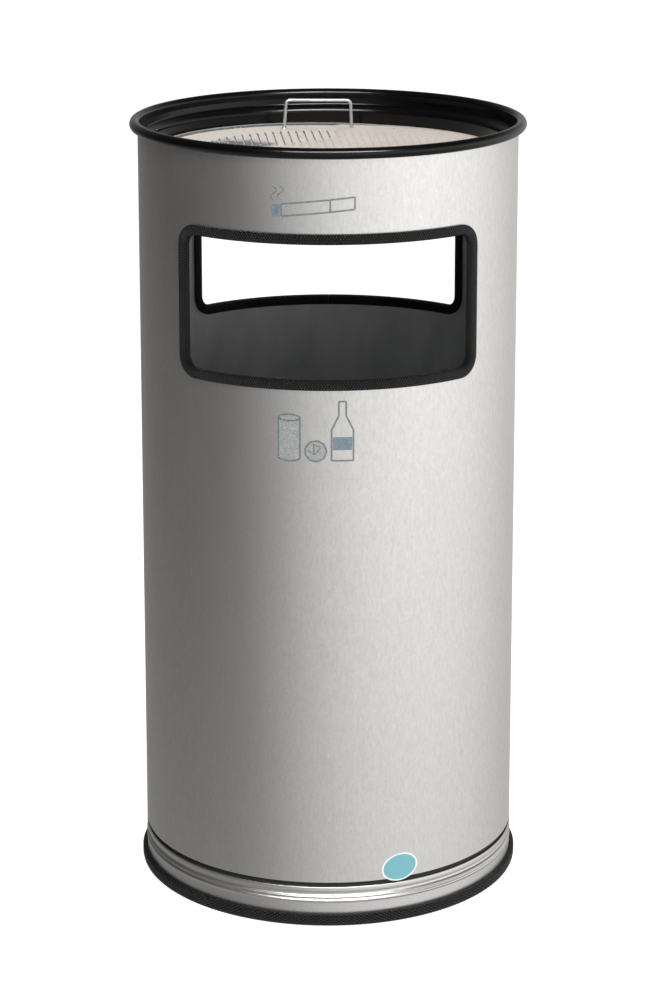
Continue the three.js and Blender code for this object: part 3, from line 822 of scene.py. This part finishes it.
handle_zinc = bright_zinc("handle_zinc", (0.52, 0.54, 0.53), 0.38, 0.8)
WIRE = 1.5 * MM
HANDLE_Y = 127.4 * MM
FOOT_HALF, TOP_HALF = 30.5 * MM, 28.9 * MM
HANDLE_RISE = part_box("sieve_handle")[1].z - SIEVE_LOW - WIRE
bend = rounded(
    [
        (-FOOT_HALF, SHEET, 0),
        (-TOP_HALF, HANDLE_RISE, 4 * MM),
        (TOP_HALF, HANDLE_RISE, 4 * MM),
        (FOOT_HALF, SHEET, 0),
    ],
    steps=9,
    closes=False,
)
legs = np.linspace(0, 1, 5)[:-1, None]
handle_line = np.concatenate([bend[0] + legs * (bend[1] - bend[0]), bend[1:]])
handle_x, handle_z = handle_line.T
handle = wire("handle_arch", np.column_stack([handle_x, 0 * handle_x + HANDLE_Y, handle_z]), WIRE, 16)
weld_low, weld_top = SHEET - 0.1 * MM, SHEET + 1.7 * MM
weld_side = [(2.9 * MM, weld_low), (2.4 * MM, SHEET + 0.9 * MM), (1.4 * MM, weld_top)]
weld_profile = [(0, weld_low), *weld_side, (0, weld_top)]
welds = [turned("weld", weld_profile, 20) for _ in range(2)]
for weld, side in zip(welds, (-1, 1)):
    apply_place(weld, Matrix.Translation((side * FOOT_HALF, HANDLE_Y, 0)))
handle = join([handle, *welds], "sieve_arch")
apply_place(handle, sieve_place)
finish(handle, handle_zinc, "handle_zinc", "sieve", "sieve_handle")

# %% [markdown]
# ## The sand
#
# Loose sand levels itself, so its surface is a plane with gentle swells. The sieve pokes out of it on
# the left, where it is tilted up, and the sand there lies just under the slots. The surface is a polar
# grid, and the grain itself is left to the finish.

# %% Sand body
PAN_WALL = 153.9 * MM
SAND_LEVEL = 639.75 * MM
rng = np.random.default_rng(7)
waves = rng.uniform(-1, 1, (9, 4)) * [95, 95, math.pi, 1]


def swell(x, y):
    """The sum of nine slow sine waves in random directions, each about 0.1 mm high."""
    start = np.multiply.outer(waves[:, 2], np.ones_like(x))
    phase = np.multiply.outer(waves[:, 0], x) + np.multiply.outer(waves[:, 1], y) + start
    return np.tensordot(waves[:, 3], np.sin(phase), 1) * 0.09 * MM


def plate_top(x, y):
    """Height of the sieve's upper face: it falls along its own tilted direction."""
    along = x * math.cos(SIEVE_TURN) + y * math.sin(SIEVE_TURN)
    return SIEVE_LOW + SHEET - along * math.tan(SIEVE_TILT)


def sand_height(x, y):
    """The level sand over the plate in front of and right of a slanting line, and under the plate behind
    it, with a smooth step between the two and a low bank along the pan's wall."""
    slant = (x + 48 * MM) * 0.62 - (y - 34 * MM) * 0.785
    past = np.maximum(slant, x - 5 * MM) + swell(3 * x, 3 * y) * 8
    ease = np.clip(past / (14 * MM) + 0.5, 0, 1)
    ease = ease * ease * (3 - 2 * ease)
    over = np.maximum(SAND_LEVEL + swell(x, y), plate_top(x, y) + 0.3 * MM)
    under = np.minimum(SAND_LEVEL - 1.2 * MM + swell(x, y), plate_top(x, y) - 1.6 * MM)
    bank = np.clip((np.hypot(x, y) - SIEVE_R - 0.5 * MM) / (4 * MM), 0, 1)
    left_bank = plate_top(x, y) + 0.4 * MM + swell(6 * x, 6 * y) * 3
    height = under + (over - under) * ease
    return height + (np.maximum(left_bank, height) - height) * bank * (1 - ease)


radii = np.concatenate([[0], np.linspace(4 * MM, 140 * MM, 60), np.linspace(142 * MM, PAN_WALL, 12)])
angles = np.linspace(0, 2 * np.pi, 220, endpoint=False)
r, a = np.meshgrid(radii, angles, indexing="ij")
x, y = r * np.sin(a), -r * np.cos(a)
top = np.stack([x, y, sand_height(x, y)], -1)
bottom_r, bottom_z = 147.5 * MM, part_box("ash_pan")[0].z + SHEET + 0.3 * MM
sand_foot = np.stack([bottom_r * np.sin(angles), -bottom_r * np.cos(angles), 0 * angles + bottom_z], -1)
foot_centre = sand_foot * [0, 0, 1]
sand = skin("sand_bed", np.concatenate([top, sand_foot[None], foot_centre[None]]), False, True)


def sand_finish():
    """Dry pale sand: two sizes of grain, a few dark ones, and faint dips over the slots beneath it, darkened
    in colour as painted shade.
    """
    material, tree, shader = new_material("sand", (0.66, 0.61, 0.56), 0.95)
    place = coordinates(tree, "Object")
    grain = noise(tree, place, 1500, 3, 0.75)
    clump = noise(tree, place, 240, 4, 0.6)
    slow = noise(tree, place, 22, 3, 0.5)
    pale = blend_color(tree, spread(tree, grain, 0.3, 0.72), (0.47, 0.42, 0.37), (0.80, 0.76, 0.70))
    warm = blend_color(tree, spread(tree, slow, 0.35, 0.7), (0.93, 0.88, 0.86), (1.0, 0.99, 0.97))
    tint = node(tree, "Mix", data_type="RGBA", blend_type="MULTIPLY")
    tint.inputs[0].default_value = 1.0
    tree.links.new(pale, tint.inputs[6])
    tree.links.new(warm, tint.inputs[7])
    local = node(tree, "SeparateXYZ", {0: coordinates(tree, "Object", (1, 1, 1), -SIEVE_TURN)})
    across, along = local.outputs[0], local.outputs[1]
    step = calc(tree, "FRACT", calc(tree, "ADD", calc(tree, "DIVIDE", across, SLOT_PITCH), 100.5))
    from_slot = calc(tree, "MULTIPLY", calc(tree, "ABSOLUTE", calc(tree, "SUBTRACT", step, 0.5)), SLOT_PITCH)
    reach = node(tree, "VectorMath", {0: place, 1: (1, 1, 0)}, operation="MULTIPLY").outputs[0]
    radius = node(tree, "VectorMath", {0: reach}, operation="LENGTH").outputs["Value"]
    within = spread(tree, radius, 0.110, 0.116, 1, 0)
    off_bridge = spread(tree, calc(tree, "ABSOLUTE", along), 0.004, 0.007)
    in_field = calc(tree, "MULTIPLY", within, off_bridge)
    line = calc(tree, "MULTIPLY", spread(tree, from_slot, 0.3 * MM, 1.5 * MM, 1, 0), in_field)
    slot_dip_and_shade = calc(tree, "MULTIPLY", line, spread(tree, noise(tree, place, 420, 2), 0.42, 0.62))
    # Painted shade: the sand's colour is darkened along the dips over the slots.
    shade = blend_color(tree, calc(tree, "MULTIPLY", slot_dip_and_shade, 0.30), tint.outputs[2], (0.26, 0.22, 0.19))
    tree.links.new(shade, shader.inputs["Base Color"])
    mixed = calc(tree, "ADD", grain, calc(tree, "MULTIPLY", clump, 1.3))
    height = calc(tree, "SUBTRACT", mixed, calc(tree, "MULTIPLY", slot_dip_and_shade, 0.9))
    bump(tree, shader, height, 0.00045)
    return material


sand_material = sand_finish()
finish(sand, sand_material, "sand", "ash_pan", "sand_fill")

# %% [markdown]
# Loose grains and crumbs lie on the sieve and along its edge, and cling to the pan's wall. Each is a
# rough eight-sided lump, and all of them are one mesh that moves with the pan.


# %% Loose crumbs
def lumps(name, places, sizes):
    """One octahedron at each place, each with its corners pushed in and out at random."""
    corners = np.array([[1, 0, 0], [0, 1, 0], [-1, 0, 0], [0, -1, 0], [0, 0, 1], [0, 0, -1]], float)
    faces = np.array([[0, 1, 4], [1, 2, 4], [2, 3, 4], [3, 0, 4], [1, 0, 5], [2, 1, 5], [3, 2, 5], [0, 3, 5]])
    reach = rng.uniform(0.7, 1.25, (len(places), 6, 1)) * sizes[:, None, None]
    points = places[:, None] + corners * reach
    every = faces[None] + 6 * np.arange(len(places))[:, None, None]
    return make_mesh(name, points.reshape(-1, 3), every.reshape(-1, 3), sharp=20)


count = 420
turn = rng.uniform(0, 2 * np.pi, count)
reach = rng.uniform(0.955, 1.02, count) * SIEVE_R
reach[: count // 3] = rng.uniform(0.1, 0.95, count // 3) * SIEVE_R
cx, cy = reach * np.sin(turn), -reach * np.cos(turn)
sizes = rng.uniform(0.25, 0.75, count) * MM
on_plate = np.where(reach < 0.985 * SIEVE_R, plate_top(cx, cy), 0)
heights_at = np.maximum(sand_height(cx, cy), on_plate) + 0.2 * MM
ledge = 60
ledge_turn = math.radians(-101) + rng.normal(0, 0.09, ledge)
ledge_height = 641.5 * MM + np.abs(rng.normal(0, 4.0, ledge)) * MM
ledge_r = 154.15 * MM - 0.2 * MM + 0 * ledge_turn
ledge_places = np.stack([ledge_r * np.sin(ledge_turn), -ledge_r * np.cos(ledge_turn), ledge_height], -1)
crumb_places = np.concatenate([np.stack([cx, cy, heights_at], -1), ledge_places])
crumb_sizes = np.concatenate([sizes, rng.uniform(0.2, 0.5, ledge) * MM])
finish(lumps("sand_crumbs", crumb_places, crumb_sizes), sand_material, "sand", "ash_pan")

# %% [markdown]
# ## The liner bucket
#
# The bucket is galvanised sheet: zinc freezes on it in crystals, which show as pale and dark patches
# with straight borders. A Voronoi pattern has just such borders. The bucket's wall leans out a little,
# and its edge is rolled over a wire.


# %% Galvanised sheet
def galvanised(name, size=9 * MM, rough=0.42):
    """Zinc spangle: each cell of a Voronoi pattern has its own grey and its own gloss."""
    material, tree, shader = new_material(name, (0.55, 0.57, 0.58), rough, 0.9)
    warp = node(tree, "TexNoise", {"Vector": coordinates(tree, "Object"), "Scale": 60.0}).outputs[1]
    bent = node(tree, "VectorMath", {0: warp, "Scale": 0.004}, operation="SCALE").outputs[0]
    place = node(tree, "VectorMath", {0: coordinates(tree, "Object"), 1: bent}, operation="ADD").outputs[0]
    cells = node(tree, "TexVoronoi", {"Vector": place, "Scale": 1 / size})
    grey = node(tree, "SeparateColor", {0: cells.outputs["Color"]}).outputs[0]
    cloud = noise(tree, coordinates(tree, "Object"), 14, 4)
    mixed = calc(tree, "ADD", calc(tree, "MULTIPLY", grey, 0.65), calc(tree, "MULTIPLY", cloud, 0.5))
    color = blend_color(tree, mixed, (0.40, 0.42, 0.43), (0.66, 0.69, 0.70))
    tree.links.new(color, shader.inputs["Base Color"])
    tree.links.new(spread(tree, grey, 0, 1, rough - 0.08, rough + 0.12), shader.inputs["Roughness"])
    bump(tree, shader, grey, 0.00005)
    return material


liner_zinc = galvanised("liner_zinc")
LINER_LOW, LINER_TOP = (corner.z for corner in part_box("liner_wall"))
LINER_LOW_R, LINER_TOP_R = 138 * MM, 146 * MM
CURL = 3.4 * MM
CURL_R, CURL_Z = LINER_TOP_R - SHEET + CURL, LINER_TOP - CURL
wall_profile = np.concatenate(
    [
        [(LINER_LOW_R - SHEET, LINER_LOW), (LINER_LOW_R, LINER_LOW)],
        arc((CURL_R, CURL_Z), CURL - SHEET, 180, -110, 20),
        arc((CURL_R, CURL_Z), CURL, -110, 180, 26),
    ]
)
finish(turned("bucket_wall", wall_profile, 200), liner_zinc, "liner_zinc", "liner", "liner_wall")

base_edge = LINER_LOW_R - SHEET - 0.4 * MM
base_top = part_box("liner_base")[1].z
base_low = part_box("liner_base")[0].z
base_profile = rounded(
    [
        (0, base_top - SHEET, 0),
        (0.86 * base_edge, base_top - SHEET, 4 * MM),
        (0.89 * base_edge, base_top - SHEET - 2 * MM, 3 * MM),
        (base_edge - SHEET, base_top - SHEET - 2 * MM, 1.5 * MM),
        (base_edge - SHEET, base_low, 0),
        (base_edge, base_low, 0),
        (base_edge, base_top - 2 * MM, 2.0 * MM),
        (0.89 * base_edge, base_top - 2 * MM, 3 * MM),
        (0.86 * base_edge, base_top, 4 * MM),
        (0, base_top, 0),
    ]
)
base_profile[base_profile[:, 0] < 1e-5, 0] = 0
finish(turned("bucket_base", base_profile, 160), liner_zinc, "liner_zinc", "liner", "liner_base")

# %% Rim wire, ears and rivets
fitting_zinc = bright_zinc("fitting_zinc", (0.55, 0.57, 0.58), 0.36)
RIM_WIRE = 1.7 * MM
rim_wire_profile = arc((CURL_R, CURL_Z), RIM_WIRE, 0, 360, 17)[:-1]
rim_wire = turned("bucket_rim_wire", rim_wire_profile, 160)
finish(rim_wire, fitting_zinc, "fitting_zinc", "liner", "liner_rim_wire")
for hand in ("left", "right"):
    ear = frame["nodes"][f"liner_ear_{hand}"]
    ear = ear if isinstance(ear, bpy.types.Object) else bpy.data.objects[f"liner_ear_{hand}"]
    ear.data.materials.clear()
    ear.data.materials.append(fitting_zinc)


def rivet(name, hand, place):
    """A domed rivet turned about the X axis, between the ends of the model's own rivet."""
    low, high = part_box(f"ear_rivet_{hand}_{place}")
    middle = (low + high) / 2
    radius = (high.y - low.y) / 2
    inner, outer = (abs(low.x), abs(high.x)) if hand == "right" else (abs(high.x), abs(low.x))
    dome = arc((0, 0), 1.0, 0, 90, 8) * [radius, 1.5 * MM] + [0, outer - 1.5 * MM]
    head = [(0, inner), (radius * 0.93, inner), (radius, inner + 0.4 * MM), (radius * 0.9, inner + 0.7 * MM)]
    shank = [(2 * MM, inner + 0.7 * MM), (2 * MM, outer - 1.6 * MM)]
    piece = turned(name, np.concatenate([head, shank, dome]), 28)
    side = 1 if hand == "right" else -1
    apply_place(piece, Matrix.Translation((0, 0, middle.z)) @ Matrix.Rotation(side * math.pi / 2, 4, "Y"))
    return piece


for hand in ("left", "right"):
    for place in ("lower", "upper"):
        piece = rivet(f"rivet_{hand}_{place}", hand, place)
        finish(piece, fitting_zinc, "fitting_zinc", "liner", f"ear_rivet_{hand}_{place}")

# %% [markdown]
# The bail is one wire: a half circle that lies on the bucket's edge, with its ends bent out through the
# ears. Its line is worked out flat and swept with a round section.

# %% Bail
BAIL_WIRE = 2.5 * MM
BAIL_R = 147 * MM
BAIL_Z = next(j for j in frame["record"]["behaviour"]["joints"] if j["name"] == "bail_swing")["pos_m"][2]
BEND = 5 * MM
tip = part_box("bail_wire")[1].x
turn_in = math.asin(BEND / (BAIL_R + BEND))
eye = (BAIL_R + BEND) * math.cos(turn_in)
bow = arc((0, 0), BAIL_R, math.degrees(turn_in), 180 - math.degrees(turn_in), 90)
right_bend = arc((eye, BEND), BEND, -90, -180 + math.degrees(turn_in), 8)
left_bend = right_bend[::-1] * [-1, 1]
bail_line = np.concatenate([[(tip, 0)], right_bend[:-1], bow, left_bend[1:], [(-tip, 0)]])
bail = wire("bail", np.column_stack([bail_line, 0 * bail_line[:, 0] + BAIL_Z]), BAIL_WIRE, 20)
finish(bail, bright_zinc("bail_zinc"), "bail_zinc", "bail", "bail_wire")

# %% [markdown]
# ## The floor plate
#
# A galvanised plate closes the bottom, with its edge turned down inside the rubber foot. A shallow
# pressed step stiffens it.

# %% Floor plate
plate_low, plate_high = (corner.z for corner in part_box("floor_plate"))
plate_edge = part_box("floor_plate")[1].x
plate_sheet = 1.0 * MM
floor_profile = rounded(
    [
        (0, plate_high - plate_sheet, 0),
        (plate_edge - plate_sheet, plate_high - plate_sheet, 1.5 * MM),
        (plate_edge - plate_sheet, plate_low, 0),
        (plate_edge, plate_low, 0),
        (plate_edge, plate_high, 2.0 * MM),
        (0, plate_high, 0),
    ]
)
floor_profile[floor_profile[:, 0] < 1e-5, 0] = 0
bottom_plate = turned("bottom_plate", floor_profile, 160)
finish(bottom_plate, galvanised("plate_zinc", 14 * MM), "plate_zinc", "bin", "floor_plate")

# %% [markdown]
# ## Signs on the shell
#
# Two printed signs say what goes where: a cigarette above the mouth, for the sand, and litter below it.
# They are simple drawings of this lesson's own. Ink lies on the metal as a very thin skin, so each line
# or filled shape is laid out flat and rolled a few hundredths of a millimetre proud of the shell.


# %% Ink helpers
def smooth(points, closes=False, steps=7):
    """A Catmull-Rom curve through the given points: each stretch blends its two ends and its two
    neighbours with the cubic weights of t."""
    p = np.asarray(points, float)
    ends = (p[-1:], p[:2]) if closes else (2 * p[:1] - p[1:2], 2 * p[-1:] - p[-2:-1])
    p = np.concatenate([ends[0], p, ends[1]])
    t = np.linspace(0, 1, steps, endpoint=False)[None, :, None]
    a, b, c, d = p[:-3, None], p[1:-2, None], p[2:-1, None], p[3:, None]
    line = 2 * b + (c - a) * t + (2 * a - 5 * b + 4 * c - d) * t**2 + (3 * b - 3 * c + d - a) * t**3
    line = 0.5 * line.reshape(-1, 2)
    return line if closes else np.concatenate([line, p[-2:-1]])


def band(upper, lower):
    """Flat faces between two edges with equal numbers of points, the upper one on the left."""
    n = len(upper)
    i = np.arange(n - 1)
    return np.concatenate([upper, lower]), np.stack([i, i + n, i + n + 1, i + 1], -1).tolist()


def ribbon(points, width, taper=0.0):
    """A line drawn with a pen: two edges half a width either side of it, nearer at its ends by the taper."""
    line = smooth(points)
    along = np.gradient(line, axis=0)
    along /= np.linalg.norm(along, axis=1, keepdims=True)
    side = np.stack([-along[:, 1], along[:, 0]], -1)
    share = np.linspace(0, 1, len(line))[:, None]
    half = width / 2 * (1 - taper * np.abs(2 * share - 1) ** 3)
    return band(line + side * half, line - side * half)


def ruled(points, width):
    """Straight lines from point to point, each a ribbon of its own, so that corners stay crisp."""
    places = np.asarray(points, float)
    return [ribbon(np.linspace(a, b, 6), width) for a, b in zip(places[:-1], places[1:])]


def patch(points, rings=5):
    """A filled outline: smaller and smaller copies of it about its centre, joined ring to ring, so that
    no face is wide enough to sink into the round shell."""
    outline = smooth(points, True)
    after = np.roll(outline, -1, 0)
    if np.sum(outline[:, 0] * after[:, 1] - outline[:, 1] * after[:, 0]) < 0:
        outline = outline[::-1]
    n = len(outline)
    centre = outline.mean(0)
    share = np.linspace(1, 1 / rings, rings)[:, None, None]
    places = np.concatenate([(centre + share * (outline - centre)).reshape(-1, 2), centre[None]])
    ring, i = (g.ravel() for g in np.meshgrid(np.arange(rings - 1) * n, np.arange(n), indexing="ij"))
    after = (i + 1) % n
    walls = np.stack([ring + i, ring + after, ring + n + after, ring + n + i], -1).tolist()
    last = (rings - 1) * n
    fan = np.stack([last + i[:n], last + after[:n], np.full(n, last + n)], -1).tolist()
    return places, walls + fan


def ink_sign(name, shapes, material, proud):
    """Rolls flat shapes of ink onto the shell as one piece. Points are in millimetres along and up."""
    points, faces, total = [], [], 0
    for places, cells in shapes:
        points.append(places)
        faces += [[corner + total for corner in cell] for cell in cells]
        total += len(places)
    flat_ink = np.concatenate(points) * MM
    piece = rolled_plate(name, flat_ink, faces, BODY_R + 0.012 * MM, BODY_R + proud * MM, 60)
    finish(piece, material, "shell_steel", "bin")


def printed_ink(name, color):
    """Screen ink, slightly worn: the colour thins to the metal's tone in tiny specks."""
    material, tree, shader = new_material(name, color, 0.5, 0.25)
    worn = noise(tree, coordinates(tree, "Object"), 700, 3, 0.7)
    pale = tuple(min(1, 1.5 * c + 0.05) for c in color)
    specks = blend_color(tree, spread(tree, worn, 0.42, 0.72), color, pale)
    tree.links.new(specks, shader.inputs["Base Color"])
    tree.links.new(spread(tree, worn, 0.3, 0.7, 0.42, 0.6), shader.inputs["Roughness"])
    return material


line_ink = printed_ink("line_ink", (0.15, 0.175, 0.185))
fill_ink = printed_ink("fill_ink", (0.15, 0.20, 0.235))
wash_ink = printed_ink("wash_ink", (0.31, 0.32, 0.315))
WASH_PROUD, FILL_PROUD, LINE_PROUD = 0.030, 0.042, 0.055

# %% Cigarette sign
THIN, LINE = 1.0, 1.5
SIGN_MIDDLE, SIGN_LEAN = np.array([-12.0, 621.0]), 0.10


def leaning(points):
    """Points about the sign's middle, each raised by the lean times its distance along: z + lean * x."""
    places = np.asarray(points, float)
    return SIGN_MIDDLE + places + np.stack([0 * places[:, 0], SIGN_LEAN * places[:, 0]], -1)


tube = [(-26, -5), (34, -5), (34, 5), (-26, 5), (-26, -5)]
curl = np.array([(-32, 8), (-35, 12), (-30, 16), (-33, 20)])
cigarette = [
    *ruled(leaning(tube), LINE),
    *ruled(leaning([(14, 5), (14, -5)]), LINE),
    ribbon(leaning(curl), THIN, 0.4),
    ribbon(leaning(curl + [6, 0]), THIN, 0.4),
]
tip_top, tip_low = (leaning(np.linspace((-34, z), (-27, z), 8)) for z in (5, -5))
ink_sign("cigarette_sign", cigarette, line_ink, LINE_PROUD)
ink_sign("ember_sign", [band(tip_top, tip_low)], fill_ink, FILL_PROUD)

# %% Litter sign: a can, a ball of paper and a bottle in a row
can_top, can_low = (np.linspace((-41, z), (-23, z), 12) for z in (446, 412))
turn = np.radians(np.arange(0, 361, 40))
ball = np.array([-10.0, 418.0]) + 9.0 * np.stack([np.cos(turn), np.sin(turn)], -1)
label_top, label_low = (np.linspace((4, z), (20, z), 12) for z in (430, 419))
bottle = [(3, 410), (3, 436), (9, 448), (9, 460), (15, 460), (15, 448), (21, 436), (21, 410), (3, 410)]
litter = [
    ribbon(np.array([-32.0, 446.0]) + arc((0, 0), 9, 0, 360, 24) * [1, 0.3], LINE),
    ribbon(np.array([-32.0, 412.0]) + arc((0, 0), 9, 180, 360, 14) * [1, 0.3], LINE),
    *ruled([(-41, 446), (-41, 412)], LINE),
    *ruled([(-23, 446), (-23, 412)], LINE),
    *ruled(ball, LINE),
    *ruled([(-17, 419), (-11, 415), (-6, 421), (-12, 424), (-11, 415)], THIN),
    *ruled(bottle, LINE),
]
ink_sign("can_sign", [band(can_top, can_low), patch(ball[:-1])], wash_ink, WASH_PROUD)
ink_sign("label_sign", [band(label_top, label_low)], fill_ink, FILL_PROUD)
ink_sign("litter_sign", litter, line_ink, LINE_PROUD)

# %% [markdown]
# ## The sticker
#
# A small oval foil sticker sits low on the right. Its print is one plain colour with a white edge.

# %% Sticker
STICKER_HALF = np.array([16.5, 12.2]) * MM
STICKER_TILT = 0.14
sticker_low, sticker_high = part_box("oval_sticker")
sticker_turn = math.atan2((sticker_low.x + sticker_high.x) / 2, -(sticker_low.y + sticker_high.y) / 2)
STICKER_ALONG = sticker_turn * BODY_R
STICKER_Z = (sticker_low.z + sticker_high.z) / 2
rings, around = 14, 72
angle = np.linspace(0, 2 * np.pi, around, endpoint=False)
share, angle = np.meshgrid(np.linspace(0, 1, rings), angle, indexing="ij")
oval = np.stack([share * np.cos(angle), share * np.sin(angle)], -1) * STICKER_HALF
tilt_cos, tilt_sin = math.cos(STICKER_TILT), math.sin(STICKER_TILT)
tilt = np.array([[tilt_cos, tilt_sin], [-tilt_sin, tilt_cos]])
oval = oval @ tilt + [STICKER_ALONG, STICKER_Z]
top_face = roll(oval[..., 0], oval[..., 1], BODY_R + 0.20 * MM)
under_face = roll(oval[::-1, :, 0], oval[::-1, :, 1], BODY_R + 0.012 * MM)
sticker = skin("sticker_oval", np.concatenate([top_face, under_face]), False, True, sharp=60)


def sticker_print():
    """One plain blue-green field inside a white edge."""
    material, tree, shader = new_material("sticker_foil", (0.8, 0.85, 0.9), 0.28, 0.0, Coat_Weight=0.4)
    place = coordinates(tree, "Object")
    parts = node(tree, "SeparateXYZ", {0: place})
    turn_angle = calc(tree, "ARCTAN2", parts.outputs[0], calc(tree, "MULTIPLY", parts.outputs[1], -1))
    along = calc(tree, "SUBTRACT", calc(tree, "MULTIPLY", turn_angle, BODY_R), STICKER_ALONG)
    up = calc(tree, "SUBTRACT", parts.outputs[2], STICKER_Z)
    flat_place = node(tree, "CombineXYZ", {0: along, 1: up}).outputs[0]
    inverse = (1 / STICKER_HALF[0], 1 / STICKER_HALF[1], 1)
    level = node(tree, "VectorRotate", {"Vector": flat_place, "Angle": -STICKER_TILT}, rotation_type="Z_AXIS")
    unit = node(tree, "VectorMath", {0: level.outputs[0], 1: inverse}, operation="MULTIPLY").outputs[0]
    edge = node(tree, "VectorMath", {0: unit}, operation="LENGTH").outputs["Value"]
    bordered = blend_color(tree, spread(tree, edge, 0.89, 0.92), (0.16, 0.45, 0.50), (0.88, 0.92, 0.95))
    tree.links.new(bordered, shader.inputs["Base Color"])
    return material


finish(sticker, sticker_print(), "sticker_foil", "bin", "oval_sticker")

# %% [markdown]
# ## The stage and the light
#
# A wide pale floor and a white dome make a plain studio. The dome is seen only by the camera: what the
# metal mirrors is the sky behind it, which is dark to the left of the bin and bright to the right, so
# that the round shell shows its shape. Three soft lamps light the sand and the front, and one of them
# puts the gleam on the black rim.


# %% Floor and dome
def glowing(name, color, roughness, glow):
    """A plain pale paint that also gives off a little light of its own."""
    material, _, shader = new_material(name, color, roughness)
    shader.inputs["Emission Color"].default_value = (1, 1, 1, 1)
    shader.inputs["Emission Strength"].default_value = glow
    return material


def stage_piece(name, points, faces, material):
    """A mesh that belongs to the studio, which only the camera and the diffuse light see."""
    mesh = bpy.data.meshes.new(name)
    mesh.from_pydata(points, [], faces)
    mesh.materials.append(material)
    piece = bpy.data.objects.new(name, mesh)
    bpy.context.scene.collection.objects.link(piece)
    piece.visible_glossy = False
    return piece


FLOOR_HALF = 19.0
corners = [(x * FLOOR_HALF, y * FLOOR_HALF, 0) for x, y in ((-1, -1), (1, -1), (1, 1), (-1, 1))]
stage_piece("floor", corners, [(0, 1, 2, 3)], glowing("floor_paint", (0.5, 0.5, 0.5), 0.9, 0.95))

DOME_R, DOME_STEPS, DOME_ROWS = 18.0, 48, 16
around = np.linspace(0, 2 * np.pi, DOME_STEPS, endpoint=False)
up = np.linspace(-0.1, np.pi / 2 - 0.02, DOME_ROWS)[:, None]
level_r, dome_height = DOME_R * np.cos(up), DOME_R * np.sin(up) + 0 * around
dome_points = np.stack([level_r * np.sin(around), level_r * np.cos(around), dome_height], -1)
row, column = (g.ravel() for g in np.meshgrid(np.arange(DOME_ROWS - 1), np.arange(DOME_STEPS), indexing="ij"))
here, beside = row * DOME_STEPS + column, row * DOME_STEPS + (column + 1) % DOME_STEPS
dome_faces = np.stack([here, beside, beside + DOME_STEPS, here + DOME_STEPS], -1).tolist()
top_ring = [(DOME_ROWS - 1) * DOME_STEPS + k for k in range(DOME_STEPS)]
dome_paint = glowing("dome_paint", (0, 0, 0), 1.0, 1.05)
dome = stage_piece("dome", dome_points.reshape(-1, 3).tolist(), [*dome_faces, top_ring], dome_paint)
dome.visible_diffuse = False
dome.visible_shadow = False

# %% [markdown]
# The sky's brightness is a table over the compass, read round the bin from the camera's side. Towards
# the ground it turns into an even glow, as a pale floor would give, and overhead it fades out, so that
# the black pan stays black.

# %% Sky
# degrees round from the camera's side, to the right, and the brightness there
COMPASS = [
    (-180, 0.45), (-155, 0.22), (-130, 0.10), (-105, 0.05), (-75, 0.03), (-52, 0.06), (-38, 0.20),
    (-25, 0.50), (-10, 0.93), (5, 1.26), (22, 1.55), (42, 1.72), (62, 1.75), (82, 1.68), (102, 1.42),
    (122, 1.05), (142, 0.74), (162, 0.55), (180, 0.45),
]


def studio_sky():
    """Brightness from the compass table, mixed with the ground's glow below and faded above."""
    world = bpy.data.worlds.new("studio")
    world.use_nodes = True
    tree = world.node_tree
    direction = node(tree, "SeparateXYZ", {0: node(tree, "TexCoord").outputs["Generated"]})
    azimuth = calc(tree, "ARCTAN2", direction.outputs[0], calc(tree, "MULTIPLY", direction.outputs[1], -1))
    ramp = node(tree, "ValToRGB", {0: spread(tree, azimuth, -math.pi, math.pi)})
    elements = ramp.color_ramp.elements
    while len(elements) < len(COMPASS):
        elements.new(0.5)
    for element, (degrees, level) in zip(elements, COMPASS):
        element.position = degrees / 360 + 0.5
        element.color = (level, level, level, 1)
    height = direction.outputs[2]
    ground = spread(tree, height, -0.15, -0.62)
    below = blend_color(tree, ground, ramp.outputs[0], (0.49, 0.49, 0.48))
    above = spread(tree, height, 0.12, 0.55)
    sky = blend_color(tree, above, below, (0.10, 0.10, 0.11))
    tree.links.new(sky, tree.nodes["Background"].inputs["Color"])
    bpy.context.scene.world = world


studio_sky()


# %% Lamps
def soft_lamp(name, place, target, size, power):
    """A square soft lamp aimed at a point."""
    data = bpy.data.lights.new(name, "AREA")
    data.shape = "RECTANGLE"
    data.size, data.size_y = size
    data.energy = power
    lamp = bpy.data.objects.new(name, data)
    lamp.location = place
    lamp.rotation_euler = (Vector(place) - Vector(target)).to_track_quat("Z", "Y").to_euler()
    lamp.visible_camera = False
    bpy.context.scene.collection.objects.link(lamp)
    return lamp


soft_lamp("front_softbox", (0.55, -1.9, 2.5), (0, 0, 0.6), (1.0, 0.35), 18)
top_lamp = soft_lamp("top_softbox", (0.2, 0.3, 2.6), (0, 0, 0.6), (1.8, 1.8), 39)
top_lamp.visible_glossy = False
gleam = soft_lamp("rim_gleam", (0.18, -1.9, 2.4), (0, 0, 0.66), (2.4, 0.55), 130)
gleam.visible_diffuse = False
print("sky stops:", len(COMPASS), "lamps: 3")
